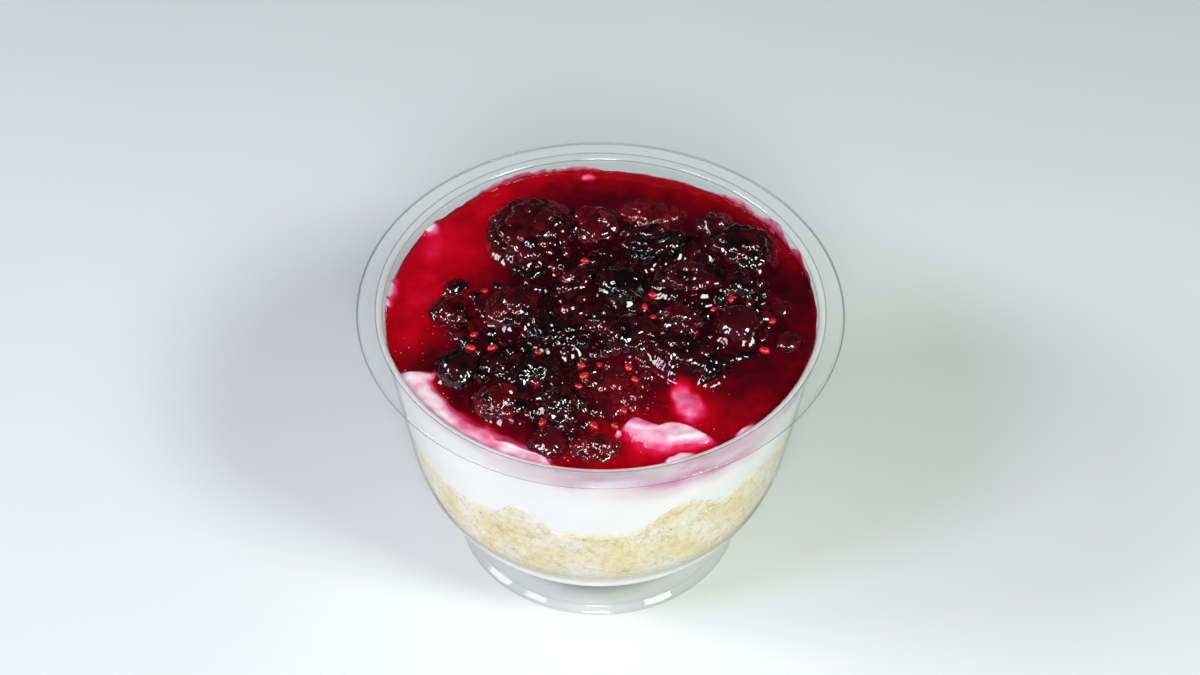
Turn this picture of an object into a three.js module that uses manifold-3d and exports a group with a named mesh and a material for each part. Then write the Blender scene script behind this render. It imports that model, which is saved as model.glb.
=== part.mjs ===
// A mixed berry cheesecake cup: a clear plastic dessert bowl on a hollow foot, filled in layers with
// biscuit crumbs, white cream cheese and a red berry sauce that carries a heap of berries.
// Millimetres, +Z up. The origin is on the cup's axis, on the surface that the foot stands on.
import * as THREE from "three";
import { mergeVertices } from "three/addons/utils/BufferGeometryUtils.js";
import Module from "manifold-3d";

const wasm = await Module();
wasm.setup();

// Driving dimensions of the cup
const CUP_HEIGHT = 60;
const RIM_RADIUS = 47.5;
const RIM_INNER_RADIUS = 43.8;
const RIM_THICKNESS = 0.8;
const WALL = 0.8;
const BOWL_FLOOR = 7.6;
const FLOOR_THICKNESS = 1;
const FOOT_RADIUS = 28.7;
const FOOT_TOP_RADIUS = 26;
const FOOT_LIP_WIDTH = 1.6;
const FOOT_LIP_HEIGHT = 1.2;
const CUP_SEGMENTS = 44;

// Driving dimensions of the filling
const GAP = 0.3;
const SAUCE_LEVEL = 56.6;
const CREAM_MIDDLE = 49;
const CREAM_EDGE_RISE = 7.4;
const CRUMB_TOP = 37;
const CRUSHED_BED = 50.8;
const CRUSHED_TOP = 57.6;
const BUMP_PITCH = 5.4;
const BUMP_DEPTH = 0.8;
const FILL_SEGMENTS = 28;
const PLUG_SEGMENTS = 22;

const DEG = Math.PI / 180;

// Outside of the bowl, from under the rim down to the foot
const OUTER_WALL = new THREE.SplineCurve([
  new THREE.Vector2(43.1, CUP_HEIGHT - RIM_THICKNESS),
  new THREE.Vector2(41.1, 46),
  new THREE.Vector2(39.2, 34),
  new THREE.Vector2(37.4, 24),
  new THREE.Vector2(34.4, 16.4),
  new THREE.Vector2(30.2, 11.2),
  new THREE.Vector2(FOOT_TOP_RADIUS, 7.9),
]).getPoints(6);

// The inside of the wall is the outside moved in by the wall's thickness
const INNER_WALL = OUTER_WALL.map((p, i) => {
  const before = OUTER_WALL[Math.max(i - 1, 0)];
  const after = OUTER_WALL[Math.min(i + 1, OUTER_WALL.length - 1)];
  const along = after.clone().sub(before).normalize();
  return new THREE.Vector2(p.x + along.y * WALL, p.y - along.x * WALL);
}).filter((p) => p.y > BOWL_FLOOR);

// Radius of the inside of the wall at a height
function innerRadius(z) {
  const i = INNER_WALL.findIndex((p) => p.y <= z);
  if (i === 0) return INNER_WALL[0].x;
  if (i < 0) return INNER_WALL.at(-1).x;
  const [high, low] = [INNER_WALL[i - 1], INNER_WALL[i]];
  return low.x + ((high.x - low.x) * (z - low.y)) / (high.y - low.y);
}

const clamp = (v, low, high) => Math.min(Math.max(v, low), high);
const bell = (distance, width) => Math.exp(-((distance / width) ** 2));

// Smallest angle between two directions, in degrees
const turn = (a, b) => Math.abs(((((a - b) % 360) + 540) % 360) - 180);

// Seeded random numbers from 0 to 1
function randomFrom(seed) {
  let state = seed * 7919 + 17;
  return () => {
    state = (state * 1664525 + 1013904223) % 4294967296;
    return state / 4294967296;
  };
}

// Manifold solid of a closed three.js geometry
function solidOf(geometry) {
  const bare = geometry.clone();
  bare.deleteAttribute("normal");
  bare.deleteAttribute("uv");
  const merged = mergeVertices(bare, 1e-4);
  return new wasm.Manifold(
    new wasm.Mesh({
      numProp: 3,
      vertProperties: merged.attributes.position.array,
      triVerts: new Uint32Array(merged.index.array),
    }),
  );
}

// Three.js geometry of a manifold solid's largest body
function geometryOf(solid) {
  const largest = solid.decompose().reduce((a, b) => (b.volume() > a.volume() ? b : a));
  const { vertProperties, triVerts, numProp, numVert } = largest.getMesh();
  const position = new Float32Array(numVert * 3);
  for (let i = 0; i < numVert; i++)
    position.set(vertProperties.subarray(i * numProp, i * numProp + 3), i * 3);
  return new THREE.BufferGeometry()
    .setAttribute("position", new THREE.BufferAttribute(position, 3))
    .setIndex(new THREE.BufferAttribute(triVerts, 1));
}

const material = (color, roughness, more = {}) =>
  new THREE.MeshStandardMaterial({ color, roughness, metalness: 0, ...more });

const MATERIALS = {
  clearPlastic: material(0xeef3f2, 0.05, { transparent: true, opacity: 0.3 }),
  crumb: material(0xe4d3a6, 0.9),
  cream: material(0xf6f4f0, 0.45),
  sauce: material(0xa3041c, 0.08),
  crushed: material(0x5b0716, 0.2),
  bramble: material(0x2a0413, 0.15),
  red_bramble: material(0x7a0a1e, 0.2),
  round_berry: material(0x1c0a1e, 0.18),
};

const cupOfBerries = new THREE.Group();

function addNode(name, geometry, look) {
  geometry.computeVertexNormals();
  const mesh = new THREE.Mesh(geometry, look);
  mesh.name = name;
  cupOfBerries.add(mesh);
}

// Cup: one thin moulding with a flat rim, a tapering bowl and a hollow foot with a lip
function cupGeometry() {
  const underRim = CUP_HEIGHT - RIM_THICKNESS;
  const lipArc = new THREE.EllipseCurve(
    RIM_INNER_RADIUS,
    underRim - 0.5,
    RIM_INNER_RADIUS - INNER_WALL[0].x,
    RIM_THICKNESS + 0.5,
    Math.PI,
    Math.PI / 2,
    true,
  ).getPoints(2);
  const rimEdge = new THREE.EllipseCurve(
    RIM_RADIUS - RIM_THICKNESS / 2,
    CUP_HEIGHT - RIM_THICKNESS / 2,
    RIM_THICKNESS / 2,
    RIM_THICKNESS / 2,
    Math.PI / 2,
    -Math.PI / 2,
    true,
  ).getPoints(4);
  const lipInner = FOOT_RADIUS - FOOT_LIP_WIDTH;
  const profile = [
    new THREE.Vector2(0, BOWL_FLOOR),
    new THREE.Vector2(FOOT_TOP_RADIUS - 2.2, BOWL_FLOOR),
    ...INNER_WALL.slice(1).reverse(),
    ...lipArc,
    ...rimEdge,
    ...OUTER_WALL,
    new THREE.Vector2(lipInner, FOOT_LIP_HEIGHT + 0.3),
    new THREE.Vector2(FOOT_RADIUS, FOOT_LIP_HEIGHT),
    new THREE.Vector2(FOOT_RADIUS, 0),
    new THREE.Vector2(lipInner - WALL, 0),
    new THREE.Vector2(FOOT_TOP_RADIUS - WALL, BOWL_FLOOR - FLOOR_THICKNESS),
    new THREE.Vector2(0, BOWL_FLOOR - FLOOR_THICKNESS),
  ];
  return new THREE.LatheGeometry(profile.reverse(), CUP_SEGMENTS).rotateX(Math.PI / 2);
}

// Closed solid of rows that run round the axis. Each row gives radius and height at an angle in
// degrees, from the middle of the underside out, up the side and in again to the middle of the top.
function roundSolid(rows, segments = FILL_SEGMENTS) {
  const positions = [];
  for (const row of rows)
    for (let s = 0; s < segments; s++) {
      const angle = (360 / segments) * s;
      const [r, z] = row(angle);
      positions.push(r * Math.cos(angle * DEG), r * Math.sin(angle * DEG), z);
    }
  const first = positions.length / 3;
  const [, lowZ] = rows[0](0);
  const [, highZ] = rows.at(-1)(0);
  positions.push(0, 0, lowZ, 0, 0, highZ);
  const index = [];
  for (let s = 0; s < segments; s++) {
    const next = (s + 1) % segments;
    index.push(first, next, s);
    for (let k = 0; k < rows.length - 1; k++) {
      const [a, b] = [k * segments + s, k * segments + next];
      index.push(a, b, b + segments, a, b + segments, a + segments);
    }
    const last = (rows.length - 1) * segments;
    index.push(first + 1, last + s, last + next);
  }
  return new THREE.BufferGeometry()
    .setAttribute("position", new THREE.Float32BufferAttribute(positions, 3))
    .setIndex(index);
}

// Top of the crumbs, from the uneven line that shows through the wall: high at these angles
const CRUMB_HILLS = [
  { angle: -112, rise: 6.5, width: 6 },
  { angle: -66, rise: 6.5, width: 9 },
  { angle: -38, rise: 4.2, width: 22 },
  { angle: 8, rise: 3.2, width: 17 },
  { angle: 62, rise: 4.5, width: 13 },
  { angle: 118, rise: 3.5, width: 19 },
  { angle: 168, rise: 4, width: 11 },
];

function crumbTop(r, angle) {
  const hills = CRUMB_HILLS.reduce((sum, h) => sum + h.rise * bell(turn(angle, h.angle), h.width), 0);
  const outwards = clamp(r / innerRadius(CRUMB_TOP), 0, 1) ** 3;
  return CRUMB_TOP + (hills - 0.4) * outwards;
}

// Top of the cream: a shallow dish that climbs to the wall
function creamTop(r, angle) {
  const ripple = 0.3 * Math.sin(angle * 3 * DEG) * Math.cos(r * 0.2);
  return CREAM_MIDDLE + CREAM_EDGE_RISE * (r / RIM_INNER_RADIUS) ** 5 + ripple;
}

// Biscuit crumbs: fill the bowl up to their uneven top
function crumbGeometry() {
  const floor = BOWL_FLOOR + GAP;
  const edge = (z) => innerRadius(z) - GAP;
  const wallTop = (angle) => crumbTop(innerRadius(CRUMB_TOP), angle);
  return roundSolid([
    () => [edge(floor) * 0.94, floor],
    ...[0.04, 0.12, 0.25, 0.45, 0.7, 1].map((t) => (angle) => {
      const z = floor + (wallTop(angle) - floor) * t;
      return [edge(z), z];
    }),
    ...[0.8, 0.55, 0.3].map((t) => (angle) => {
      const r = edge(wallTop(angle)) * t;
      return [r, crumbTop(r, angle)];
    }),
  ]);
}

// Cream cheese: from the crumbs up to its own top. Raised and spread, it is the room that the cream
// takes from what lies on it.
function creamGeometry(raised = 0, spread = 0) {
  const floor = CRUMB_TOP - 2;
  const bed = innerRadius(CREAM_MIDDLE) - GAP;
  const over = (angle) => creamTop(bed, angle) + raised;
  const shoulder = spread ? [(angle) => [bed, over(angle)]] : [];
  return roundSolid([
    ...[0, 0.35, 0.7].map((t) => (angle) => {
      const z = floor + (over(angle) - floor) * t;
      return [innerRadius(z) - GAP + spread, z];
    }),
    (angle) => [bed + spread, over(angle)],
    ...shoulder,
    ...[0.9, 0.7, 0.4].map((t) => (angle) => {
      return [bed * t, creamTop(bed * t, angle) + raised];
    }),
  ]);
}

// Berries as they lie: centre, length, width and height, and the turn of the length about +Z.
// Fineness is how often the faces of the ball under the bumps of a bramble are divided.
const BERRIES = [
  { name: "bramble_1", x: -14, y: 22.6, z: 56, size: [19, 21.4, 11.6], yaw: 8, fineness: 2 },
  { name: "bramble_2", x: 28.2, y: 18.8, z: 56.4, size: [14.6, 14.2, 10.4], yaw: -40, fineness: 1 },
  { name: "bramble_3", x: 11.6, y: 18, z: 57.4, size: [16, 7, 7.6], yaw: 28, fineness: 1 },
  { name: "bramble_4", x: 17.4, y: 8.4, z: 56.2, size: [17.4, 12.6, 11], yaw: 6, fineness: 1 },
  { name: "bramble_5", x: -7.8, y: -6.4, z: 56.2, size: [14.4, 12.4, 10.8], yaw: -14, fineness: 1 },
  { name: "bramble_6", x: 16.6, y: -12, z: 57, size: [20.4, 9.6, 9.2], yaw: -30, fineness: 1 },
  { name: "bramble_7", x: -13, y: -16.2, z: 56.2, size: [12.6, 9.6, 9.6], yaw: 10, fineness: 1 },
  { name: "bramble_8", x: -7, y: -24.4, z: 56, size: [12.6, 10.6, 9.6], yaw: 24, fineness: 1 },
  { name: "red_bramble_1", x: -2, y: 25.2, z: 56, size: [10.8, 11.6, 9.4], yaw: 0, fineness: 1 },
  { name: "red_bramble_2", x: 10.2, y: 28.6, z: 54.6, size: [18.4, 10.6, 7.2], yaw: -4, fineness: 1 },
  { name: "red_bramble_3", x: -16.4, y: 0.6, z: 56.2, size: [15, 11.6, 10.2], yaw: 6, fineness: 1 },
  { name: "red_bramble_4", x: -29.6, y: 0.4, z: 55.8, size: [9.6, 9.4, 8], yaw: 60, fineness: 1 },
  { name: "red_bramble_5", x: -18.4, y: -24.4, z: 55.8, size: [13.6, 11, 9.4], yaw: -24, fineness: 1 },
  { name: "red_bramble_6", x: -1, y: -35.2, z: 55.8, size: [12, 7.6, 6.6], yaw: 4, fineness: 1 },
  { name: "round_berry_1", x: 3.6, y: 7.4, z: 57, size: [10.4, 10.2, 8.8], yaw: 100 },
  { name: "round_berry_2", x: 26.8, y: -2.6, z: 56.2, size: [10.6, 10.4, 9], yaw: 50 },
  { name: "round_berry_3", x: -26.8, y: -15.6, z: 56.2, size: [10, 9.8, 9], yaw: 120 },
  { name: "round_berry_4", x: -9.6, y: -34.2, z: 56.2, size: [8.4, 8.2, 7], yaw: 200 },
  { name: "round_berry_5", x: 36.6, y: -6.6, z: 56, size: [6, 5.8, 5.2], yaw: 80 },
];

// Seeds that lie on the crushed berries
const SEED_SIZE = [2.4, 1.6, 1.4];
const SEED_PLACES = [
  [-3.4, 14.6],
  [-22.8, 6.4],
  [-24.4, -5.6],
  [-20.6, -9.8],
  [-25.2, -9.4],
  [8.6, 1.6],
  [10.2, -2.2],
  [25.6, 4.4],
  [22.2, 1.6],
  [33.6, -1.2],
  [10, 5.2],
  [31.6, -8.6],
  [-12, -10.8],
  [-3.8, -13.6],
  [-0.2, -13.4],
  [5.4, -13.8],
  [-2.8, -17.2],
  [6.6, -17.6],
  [-4.2, -21],
  [4.6, -25.6],
  [-10.6, -29.4],
  [2.8, -29],
  [-1.2, -29.2],
];

const place = (geometry, { x, y, z, yaw }) => geometry.rotateZ(yaw * DEG).translate(x, y, z);

// Distance from the middle to the surface of an ellipsoid, along a direction
const ellipsoidReach = ([a, b, c]) => (d) => 1 / Math.hypot(d.x / a, d.y / b, d.z / c);

// Bumpy skin over a net of triangles: a bump stands on each corner, and the skin dips at the middle
// of each triangle that shows. Returns the skin's points and triangles.
function bumpySkin(corners, triangles, shows, dip) {
  const points = corners.map((c) => c.clone());
  const middles = new Map();
  const plain = [];
  for (const [a, b, c] of triangles) {
    const middle = new THREE.Vector3().add(corners[a]).add(corners[b]).add(corners[c]).divideScalar(3);
    if (shows(middle)) {
      points.push(dip(middle));
      for (const edge of [[a, b], [b, c], [c, a]]) middles.set(edge.join(), points.length - 1);
    } else plain.push([a, b, c]);
  }
  const bumpy = [...middles].map(([edge, middle]) => {
    const [from, to] = edge.split(",").map(Number);
    const across = middles.get(`${to},${from}`);
    if (across === undefined) return [from, to, middle];
    return [from, across, middle];
  });
  return { points, skin: [...bumpy, ...plain] };
}

function geometryFrom(points, triangles) {
  return new THREE.BufferGeometry()
    .setAttribute("position", new THREE.Float32BufferAttribute(points.flatMap((p) => p.toArray()), 3))
    .setIndex(triangles.flat());
}

// Ball of even triangles whose points are moved to the distance that reach gives for a direction
function starBall(detail, reach) {
  const geometry = new THREE.IcosahedronGeometry(1, detail);
  const p = geometry.attributes.position;
  const v = new THREE.Vector3();
  for (let i = 0; i < p.count; i++) {
    v.fromBufferAttribute(p, i).normalize();
    v.multiplyScalar(reach(v));
    p.setXYZ(i, v.x, v.y, v.z);
  }
  return geometry;
}

// Bramble: drupelets of one size over an ellipsoid, one bump for each corner of an even ball
function brambleGeometry({ size, fineness }, seed) {
  const random = randomFrom(seed);
  const reach = ellipsoidReach(size.map((s) => s / 2));
  const ball = new THREE.IcosahedronGeometry(1, fineness);
  ball.deleteAttribute("normal");
  ball.deleteAttribute("uv");
  const net = mergeVertices(ball, 1e-4);
  const corners = [...Array(net.attributes.position.count).keys()].map((i) => {
    const d = new THREE.Vector3().fromBufferAttribute(net.attributes.position, i).normalize();
    return d.multiplyScalar(reach(d) * (0.95 + 0.05 * random()));
  });
  const triangles = [...Array(net.index.count / 3).keys()].map((t) => {
    return [0, 1, 2].map((k) => net.index.getX(3 * t + k));
  });
  const lowest = -0.2 * size[2];
  const dip = (middle) => {
    const d = middle.clone().normalize();
    return d.multiplyScalar(reach(d) * 0.98 - BUMP_DEPTH);
  };
  const { points, skin } = bumpySkin(corners, triangles, (middle) => middle.z > lowest, dip);
  return geometryFrom(points, skin);
}

// Round berry: a slightly flat ball with the dent of its crown to one side of the top
function roundBerryGeometry({ size }) {
  const body = ellipsoidReach(size.map((s) => s / 2));
  const crown = new THREE.Vector3(0.45, 0, 0.9).normalize();
  return starBall(2, (d) => body(d) * (0.98 - 0.12 * bell(d.angleTo(crown) / DEG, 16)));
}

// The room that a berry takes: an open pocket of few flat faces, all a gap clear of the berry
const ROOM_SIDES = 8;
const ROOM_OVERSIZE = 1.085;

function roomFor({ size, ...lie }) {
  const [a, b, c] = size.map((s) => s / 2);
  const rows = [
    () => [0.42, -c - GAP],
    () => [1, -0.42 * c - GAP],
    () => [1, 2 * c],
  ];
  const pocket = roundSolid(rows, ROOM_SIDES);
  return solidOf(place(pocket.scale(a * ROOM_OVERSIZE + GAP, b * ROOM_OVERSIZE + GAP, 1), lie));
}

// Folds of cream that stand up through the sauce: middle, height of the top, size and turn about +Z
const CREAM_FOLDS = [
  { x: -38, y: -16, top: 57.9, size: [13, 9, 9], yaw: -67 },
  { x: -32.4, y: -24, top: 58, size: [14, 8.6, 9], yaw: -53 },
  { x: -23.4, y: -33, top: 57.7, size: [15, 7.4, 9], yaw: -35 },
  { x: 13.2, y: -31.2, top: 58, size: [15.6, 6.6, 10], yaw: -6 },
  { x: 17.2, y: -24.4, top: 57, size: [5.6, 7, 9], yaw: 0 },
  { x: -41.8, y: 4.4, top: 57.4, size: [9.6, 3.6, 7], yaw: 84 },
  { x: -34.6, y: 24.2, top: 57.8, size: [4.4, 4, 7], yaw: 55 },
  { x: 29.8, y: -29.2, top: 57.4, size: [9, 3.2, 7], yaw: 45 },
];

// A fold as a soft lump, kept clear of the wall. Grown, it is the room that the fold takes.
function foldSolid({ x, y, top, size, yaw }, grow = 0) {
  const half = size.map((s) => s / 2 + grow);
  const lump = place(starBall(1, ellipsoidReach(half)), { x, y, z: top - size[2] / 2, yaw });
  const inside = roundSolid([
    () => [innerRadius(CREAM_MIDDLE) - GAP + grow, CREAM_MIDDLE - 5],
    () => [innerRadius(CREAM_MIDDLE) - GAP + grow, CREAM_MIDDLE],
    () => [innerRadius(SAUCE_LEVEL) - GAP + grow, SAUCE_LEVEL],
    () => [innerRadius(SAUCE_LEVEL) - GAP + grow, CUP_HEIGHT],
  ]);
  return solidOf(lump).intersect(solidOf(inside));
}

const foldsGrown = (grow) => wasm.Manifold.union(CREAM_FOLDS.map((fold) => foldSolid(fold, grow)));

// Outline of the crushed berries, round their middle
const CRUSHED_CENTRE = [2, -2];
const CRUSHED_REACH = [
  { angle: 3, reach: 38.5 },
  { angle: 30, reach: 37.5 },
  { angle: 60, reach: 35.5 },
  { angle: 88, reach: 36 },
  { angle: 112, reach: 38 },
  { angle: 133, reach: 34 },
  { angle: 152, reach: 29 },
  { angle: 175, reach: 37 },
  { angle: 200, reach: 37 },
  { angle: 225, reach: 36.5 },
  { angle: 256, reach: 38 },
  { angle: 282, reach: 29 },
  { angle: 302, reach: 22 },
  { angle: 328, reach: 26 },
  { angle: 346, reach: 36 },
];

function crushedReach(angle) {
  const near = CRUSHED_REACH.map((p) => ({ reach: p.reach, weight: bell(turn(angle, p.angle), 13) }));
  const total = near.reduce((sum, p) => sum + p.weight, 0);
  const mean = near.reduce((sum, p) => sum + p.reach * p.weight, 0) / total;
  return mean + 0.7 * Math.sin(angle * 9 * DEG) + 0.5 * Math.cos(angle * 14 * DEG);
}

// The room of the crushed berries: a plug that reaches up through the sauce
function crushedRoom(grow) {
  const above = SAUCE_LEVEL + 6;
  return roundSolid([
    (angle) => [crushedReach(angle) * 0.78 + grow, CRUSHED_BED - grow],
    (angle) => [crushedReach(angle) + grow, SAUCE_LEVEL - 2],
    (angle) => [crushedReach(angle) + grow, above],
  ], PLUG_SEGMENTS).translate(...CRUSHED_CENTRE, 0);
}

// Lumps of crushed berries that stand above the rest of the heap
const LUMPS = [
  { x: 6.6, y: -6.6, rise: 3, width: 5 },
  { x: 15.4, y: -1.4, rise: 2.4, width: 5 },
  { x: -0.6, y: 0, rise: 2.2, width: 3.4 },
  { x: 4, y: -20.4, rise: 1, width: 6 },
  { x: 27, y: 7.4, rise: 1.4, width: 5 },
  { x: -22, y: -17, rise: 1.8, width: 4 },
];

function bumpHeight(x, y) {
  const lumps = LUMPS.reduce((sum, l) => sum + l.rise * bell(Math.hypot(x - l.x, y - l.y), l.width), 0);
  return CRUSHED_TOP + lumps + 0.7 * Math.sin(x * 0.33 + 2) * Math.cos(y * 0.29 + 0.5);
}

// Slab whose top is covered with drupelets on a net of equal triangles
function bumpySlab() {
  const random = randomFrom(99);
  const columns = 2 * Math.ceil(RIM_RADIUS / BUMP_PITCH);
  const rowPitch = (BUMP_PITCH * Math.sqrt(3)) / 2;
  const rows = 2 * Math.ceil(RIM_RADIUS / rowPitch);
  const corners = [];
  const triangles = [];
  for (let j = 0; j <= rows; j++)
    for (let i = 0; i <= columns; i++) {
      const x = (i - columns / 2 + (j % 2 ? 0.5 : 0)) * BUMP_PITCH + (random() - 0.5) * 0.9;
      const y = (j - rows / 2) * rowPitch + (random() - 0.5) * 0.9;
      corners.push(new THREE.Vector3(x, y, bumpHeight(x, y) + random() * 0.5));
      if (i === columns || j === rows) continue;
      const here = j * (columns + 1) + i;
      const above = here + columns + 1;
      if (j % 2) triangles.push([here, here + 1, above + 1], [here, above + 1, above]);
      else triangles.push([here, here + 1, above], [here + 1, above + 1, above]);
    }
  const open = ({ x, y }) => {
    return !BERRIES.some((b) => Math.hypot(x - b.x, y - b.y) < 0.42 * Math.min(b.size[0], b.size[1]));
  };
  const dip = (middle) => middle.clone().setZ(middle.z - BUMP_DEPTH);
  const { points, skin } = bumpySkin(corners, triangles, open, dip);
  const border = [];
  for (let i = 0; i < columns; i++) border.push(i);
  for (let j = 0; j < rows; j++) border.push(j * (columns + 1) + columns);
  for (let i = columns; i > 0; i--) border.push(rows * (columns + 1) + i);
  for (let j = rows; j > 0; j--) border.push(j * (columns + 1));
  const low = points.length;
  border.forEach((p) => points.push(points[p].clone().setZ(CRUSHED_BED)));
  points.push(new THREE.Vector3(0, 0, CRUSHED_BED));
  const centre = points.length - 1;
  border.forEach((p, i) => {
    const next = (i + 1) % border.length;
    skin.push([p, low + i, low + next], [p, low + next, border[next]], [centre, low + next, low + i]);
  });
  return geometryFrom(points, skin);
}

function seedGeometry([x, y], i) {
  const lie = { x, y, z: bumpHeight(x, y) - 0.1, yaw: i * 67 };
  return place(new THREE.OctahedronGeometry(1).scale(...SEED_SIZE.map((s) => s / 2)), lie);
}

// Each berry is pressed flat where it meets one that is listed before it
const rooms = [];
const berrySolids = BERRIES.map((berry, i) => {
  const grown = berry.fineness ? brambleGeometry(berry, i + 1) : roundBerryGeometry(berry);
  const whole = solidOf(place(grown, berry));
  const pressed = rooms.reduce((solid, room) => solid.subtract(room), whole);
  rooms.push(roomFor(berry));
  return pressed;
});
const allRooms = wasm.Manifold.union(rooms);

const crumbRoom = solidOf(crumbGeometry().scale(1.01, 1.01, 1).translate(0, 0, 1.3 * GAP));
const creamRoom = solidOf(creamGeometry(GAP, 1)).add(foldsGrown(2 * GAP));
const cream = solidOf(creamGeometry()).add(foldsGrown(0)).subtract(crumbRoom).subtract(allRooms);

// Crushed berries fill the heap between the whole ones, with seeds fused on
const seeds = wasm.Manifold.union(SEED_PLACES.map(seedGeometry).map(solidOf));
const crushed = solidOf(bumpySlab())
  .add(seeds)
  .intersect(solidOf(crushedRoom(0)))
  .subtract(creamRoom)
  .subtract(allRooms);

// Sauce: level, held by the wall, resting on the cream and cut round what lies in it
const sauceDisc = roundSolid([
  () => [innerRadius(CREAM_MIDDLE) - GAP, CREAM_MIDDLE],
  () => [innerRadius(SAUCE_LEVEL) - GAP, SAUCE_LEVEL],
]);
const sauce = solidOf(sauceDisc)
  .subtract(creamRoom)
  .subtract(solidOf(crushedRoom(GAP)))
  .subtract(allRooms);

addNode("cup", cupGeometry(), MATERIALS.clearPlastic);
addNode("biscuit_base", crumbGeometry(), MATERIALS.crumb);
addNode("cream_cheese", geometryOf(cream), MATERIALS.cream);
addNode("berry_sauce", geometryOf(sauce), MATERIALS.sauce);
addNode("crushed_berries", geometryOf(crushed), MATERIALS.crushed);
BERRIES.forEach(({ name }, i) => {
  const kind = name.replace(/_\d+$/, "");
  addNode(name, geometryOf(berrySolids[i]), MATERIALS[kind]);
});

export default cupOfBerries;
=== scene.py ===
"""Looks of the mixed berry cheesecake cup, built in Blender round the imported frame.

Sizes are in millimetres until a mesh is made. +Z is up, the cup stands on z = 0 round the Z axis,
and -Y points to the camera.
"""

import math

import bmesh
import bpy
import numpy as np
from mathutils import Matrix, Vector
from mathutils.bvhtree import BVHTree


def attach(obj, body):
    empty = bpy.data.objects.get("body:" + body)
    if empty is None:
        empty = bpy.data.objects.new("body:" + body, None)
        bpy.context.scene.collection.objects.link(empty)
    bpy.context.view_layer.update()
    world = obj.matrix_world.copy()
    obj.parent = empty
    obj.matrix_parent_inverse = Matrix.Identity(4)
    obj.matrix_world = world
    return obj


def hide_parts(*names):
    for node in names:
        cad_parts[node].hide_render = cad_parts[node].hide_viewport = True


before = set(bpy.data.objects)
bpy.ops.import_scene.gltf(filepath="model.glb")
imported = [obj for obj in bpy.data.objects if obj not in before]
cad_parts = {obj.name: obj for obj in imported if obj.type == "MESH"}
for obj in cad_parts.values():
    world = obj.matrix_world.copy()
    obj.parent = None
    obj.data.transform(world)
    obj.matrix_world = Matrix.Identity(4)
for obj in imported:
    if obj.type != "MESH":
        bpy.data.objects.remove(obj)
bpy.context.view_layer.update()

MM = 0.001

# Sizes of the cup
CUP_HEIGHT = 60.0
RIM_RADIUS = 47.5
RIM_INNER_RADIUS = 43.8
RIM_THICKNESS = 0.8
WALL = 0.8
BOWL_FLOOR = 7.6
FLOOR_THICKNESS = 1.0
FOOT_RADIUS = 28.7
FOOT_TOP_RADIUS = 26.0
FOOT_LIP_WIDTH = 1.6
FOOT_LIP_HEIGHT = 1.2
OUTER_WALL = [
    (43.1, CUP_HEIGHT - RIM_THICKNESS),
    (41.1, 46.0),
    (39.2, 34.0),
    (37.4, 24.0),
    (34.4, 16.4),
    (30.2, 11.2),
    (FOOT_TOP_RADIUS, 7.9),
]

# Sizes of the filling
INTO_WALL = 0.25
SAUCE_LEVEL = 56.6
CREAM_MIDDLE = 49.0
CREAM_EDGE_RISE = 7.4
CRUMB_TOP = 37.0
CRUSHED_CENTRE = (2.0, -2.0)


# Numbers


def bell(distance, width):
    return np.exp(-((distance / width) ** 2))


def smoothstep(low, high, value):
    t = np.clip((value - low) / (high - low), 0.0, 1.0)
    return t * t * (3.0 - 2.0 * t)


def turn(a, b):
    """Smallest angle between directions a and b, in degrees."""
    return np.abs((a - b + 180.0) % 360.0 - 180.0)


def angle_of(x, y):
    """Direction of a place from the cup's axis, in degrees."""
    return np.degrees(np.arctan2(y, x))


def smooth_max(a, b, blend):
    """The larger of a and b, rounded where they meet over about the given height."""
    return 0.5 * (a + b + np.sqrt((a - b) ** 2 + blend**2))


def smooth_min(a, b, sharp=3.0):
    """The smaller of a and b, rounded where they meet."""
    return -np.logaddexp(-sharp * a, -sharp * b) / sharp


def lattice_value(ix, iy, iz, seed):
    """A fixed random number from 0 to 1 for each whole-numbered place."""
    h = ix * 374761393 + iy * 668265263 + iz * 1440662683 + seed * 974634777
    h = (h ^ (h >> 13)) * 1274126177
    return ((h ^ (h >> 16)) & 0xFFFFFF) / float(0xFFFFFF)


def noise(points, size, seed=0):
    """Smooth noise from -1 to 1 over an array of points, with lumps of the given size."""
    p = points / size
    cell = np.floor(p).astype(np.int64)
    f = p - cell
    f = f * f * (3.0 - 2.0 * f)
    total = 0.0
    for dx in (0, 1):
        for dy in (0, 1):
            for dz in (0, 1):
                corner = lattice_value(cell[..., 0] + dx, cell[..., 1] + dy, cell[..., 2] + dz, seed)
                weight = (
                    (f[..., 0] if dx else 1 - f[..., 0])
                    * (f[..., 1] if dy else 1 - f[..., 1])
                    * (f[..., 2] if dz else 1 - f[..., 2])
                )
                total = total + corner * weight
    return total * 2.0 - 1.0


def layered_noise(points, size, seed=0, layers=3):
    total = 0.0
    for k in range(layers):
        total = total + noise(points, size / 2**k, seed + k) / 2**k
    return total / 1.75


def plane_points(x, y, z=0.0):
    return np.stack(np.broadcast_arrays(x, y, np.float64(z)), axis=-1)


# Meshes


def new_object(name, vertices, faces, material, tints=None):
    """Smooth-shaded object from millimetre vertices, with an optional colour for each vertex."""
    mesh = bpy.data.meshes.new(name)
    mesh.from_pydata((np.asarray(vertices) * MM).tolist(), [], faces)
    mesh.shade_smooth()
    if tints is not None:
        layer = mesh.color_attributes.new("tint", "FLOAT_COLOR", "POINT")
        rgba = np.ones((len(tints), 4), dtype=np.float32)
        rgba[:, :3] = tints
        layer.data.foreach_set("color", rgba.ravel())
    mesh.materials.append(material)
    mesh.validate()
    piece = bpy.data.objects.new(name, mesh)
    bpy.context.scene.collection.objects.link(piece)
    return piece


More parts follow.
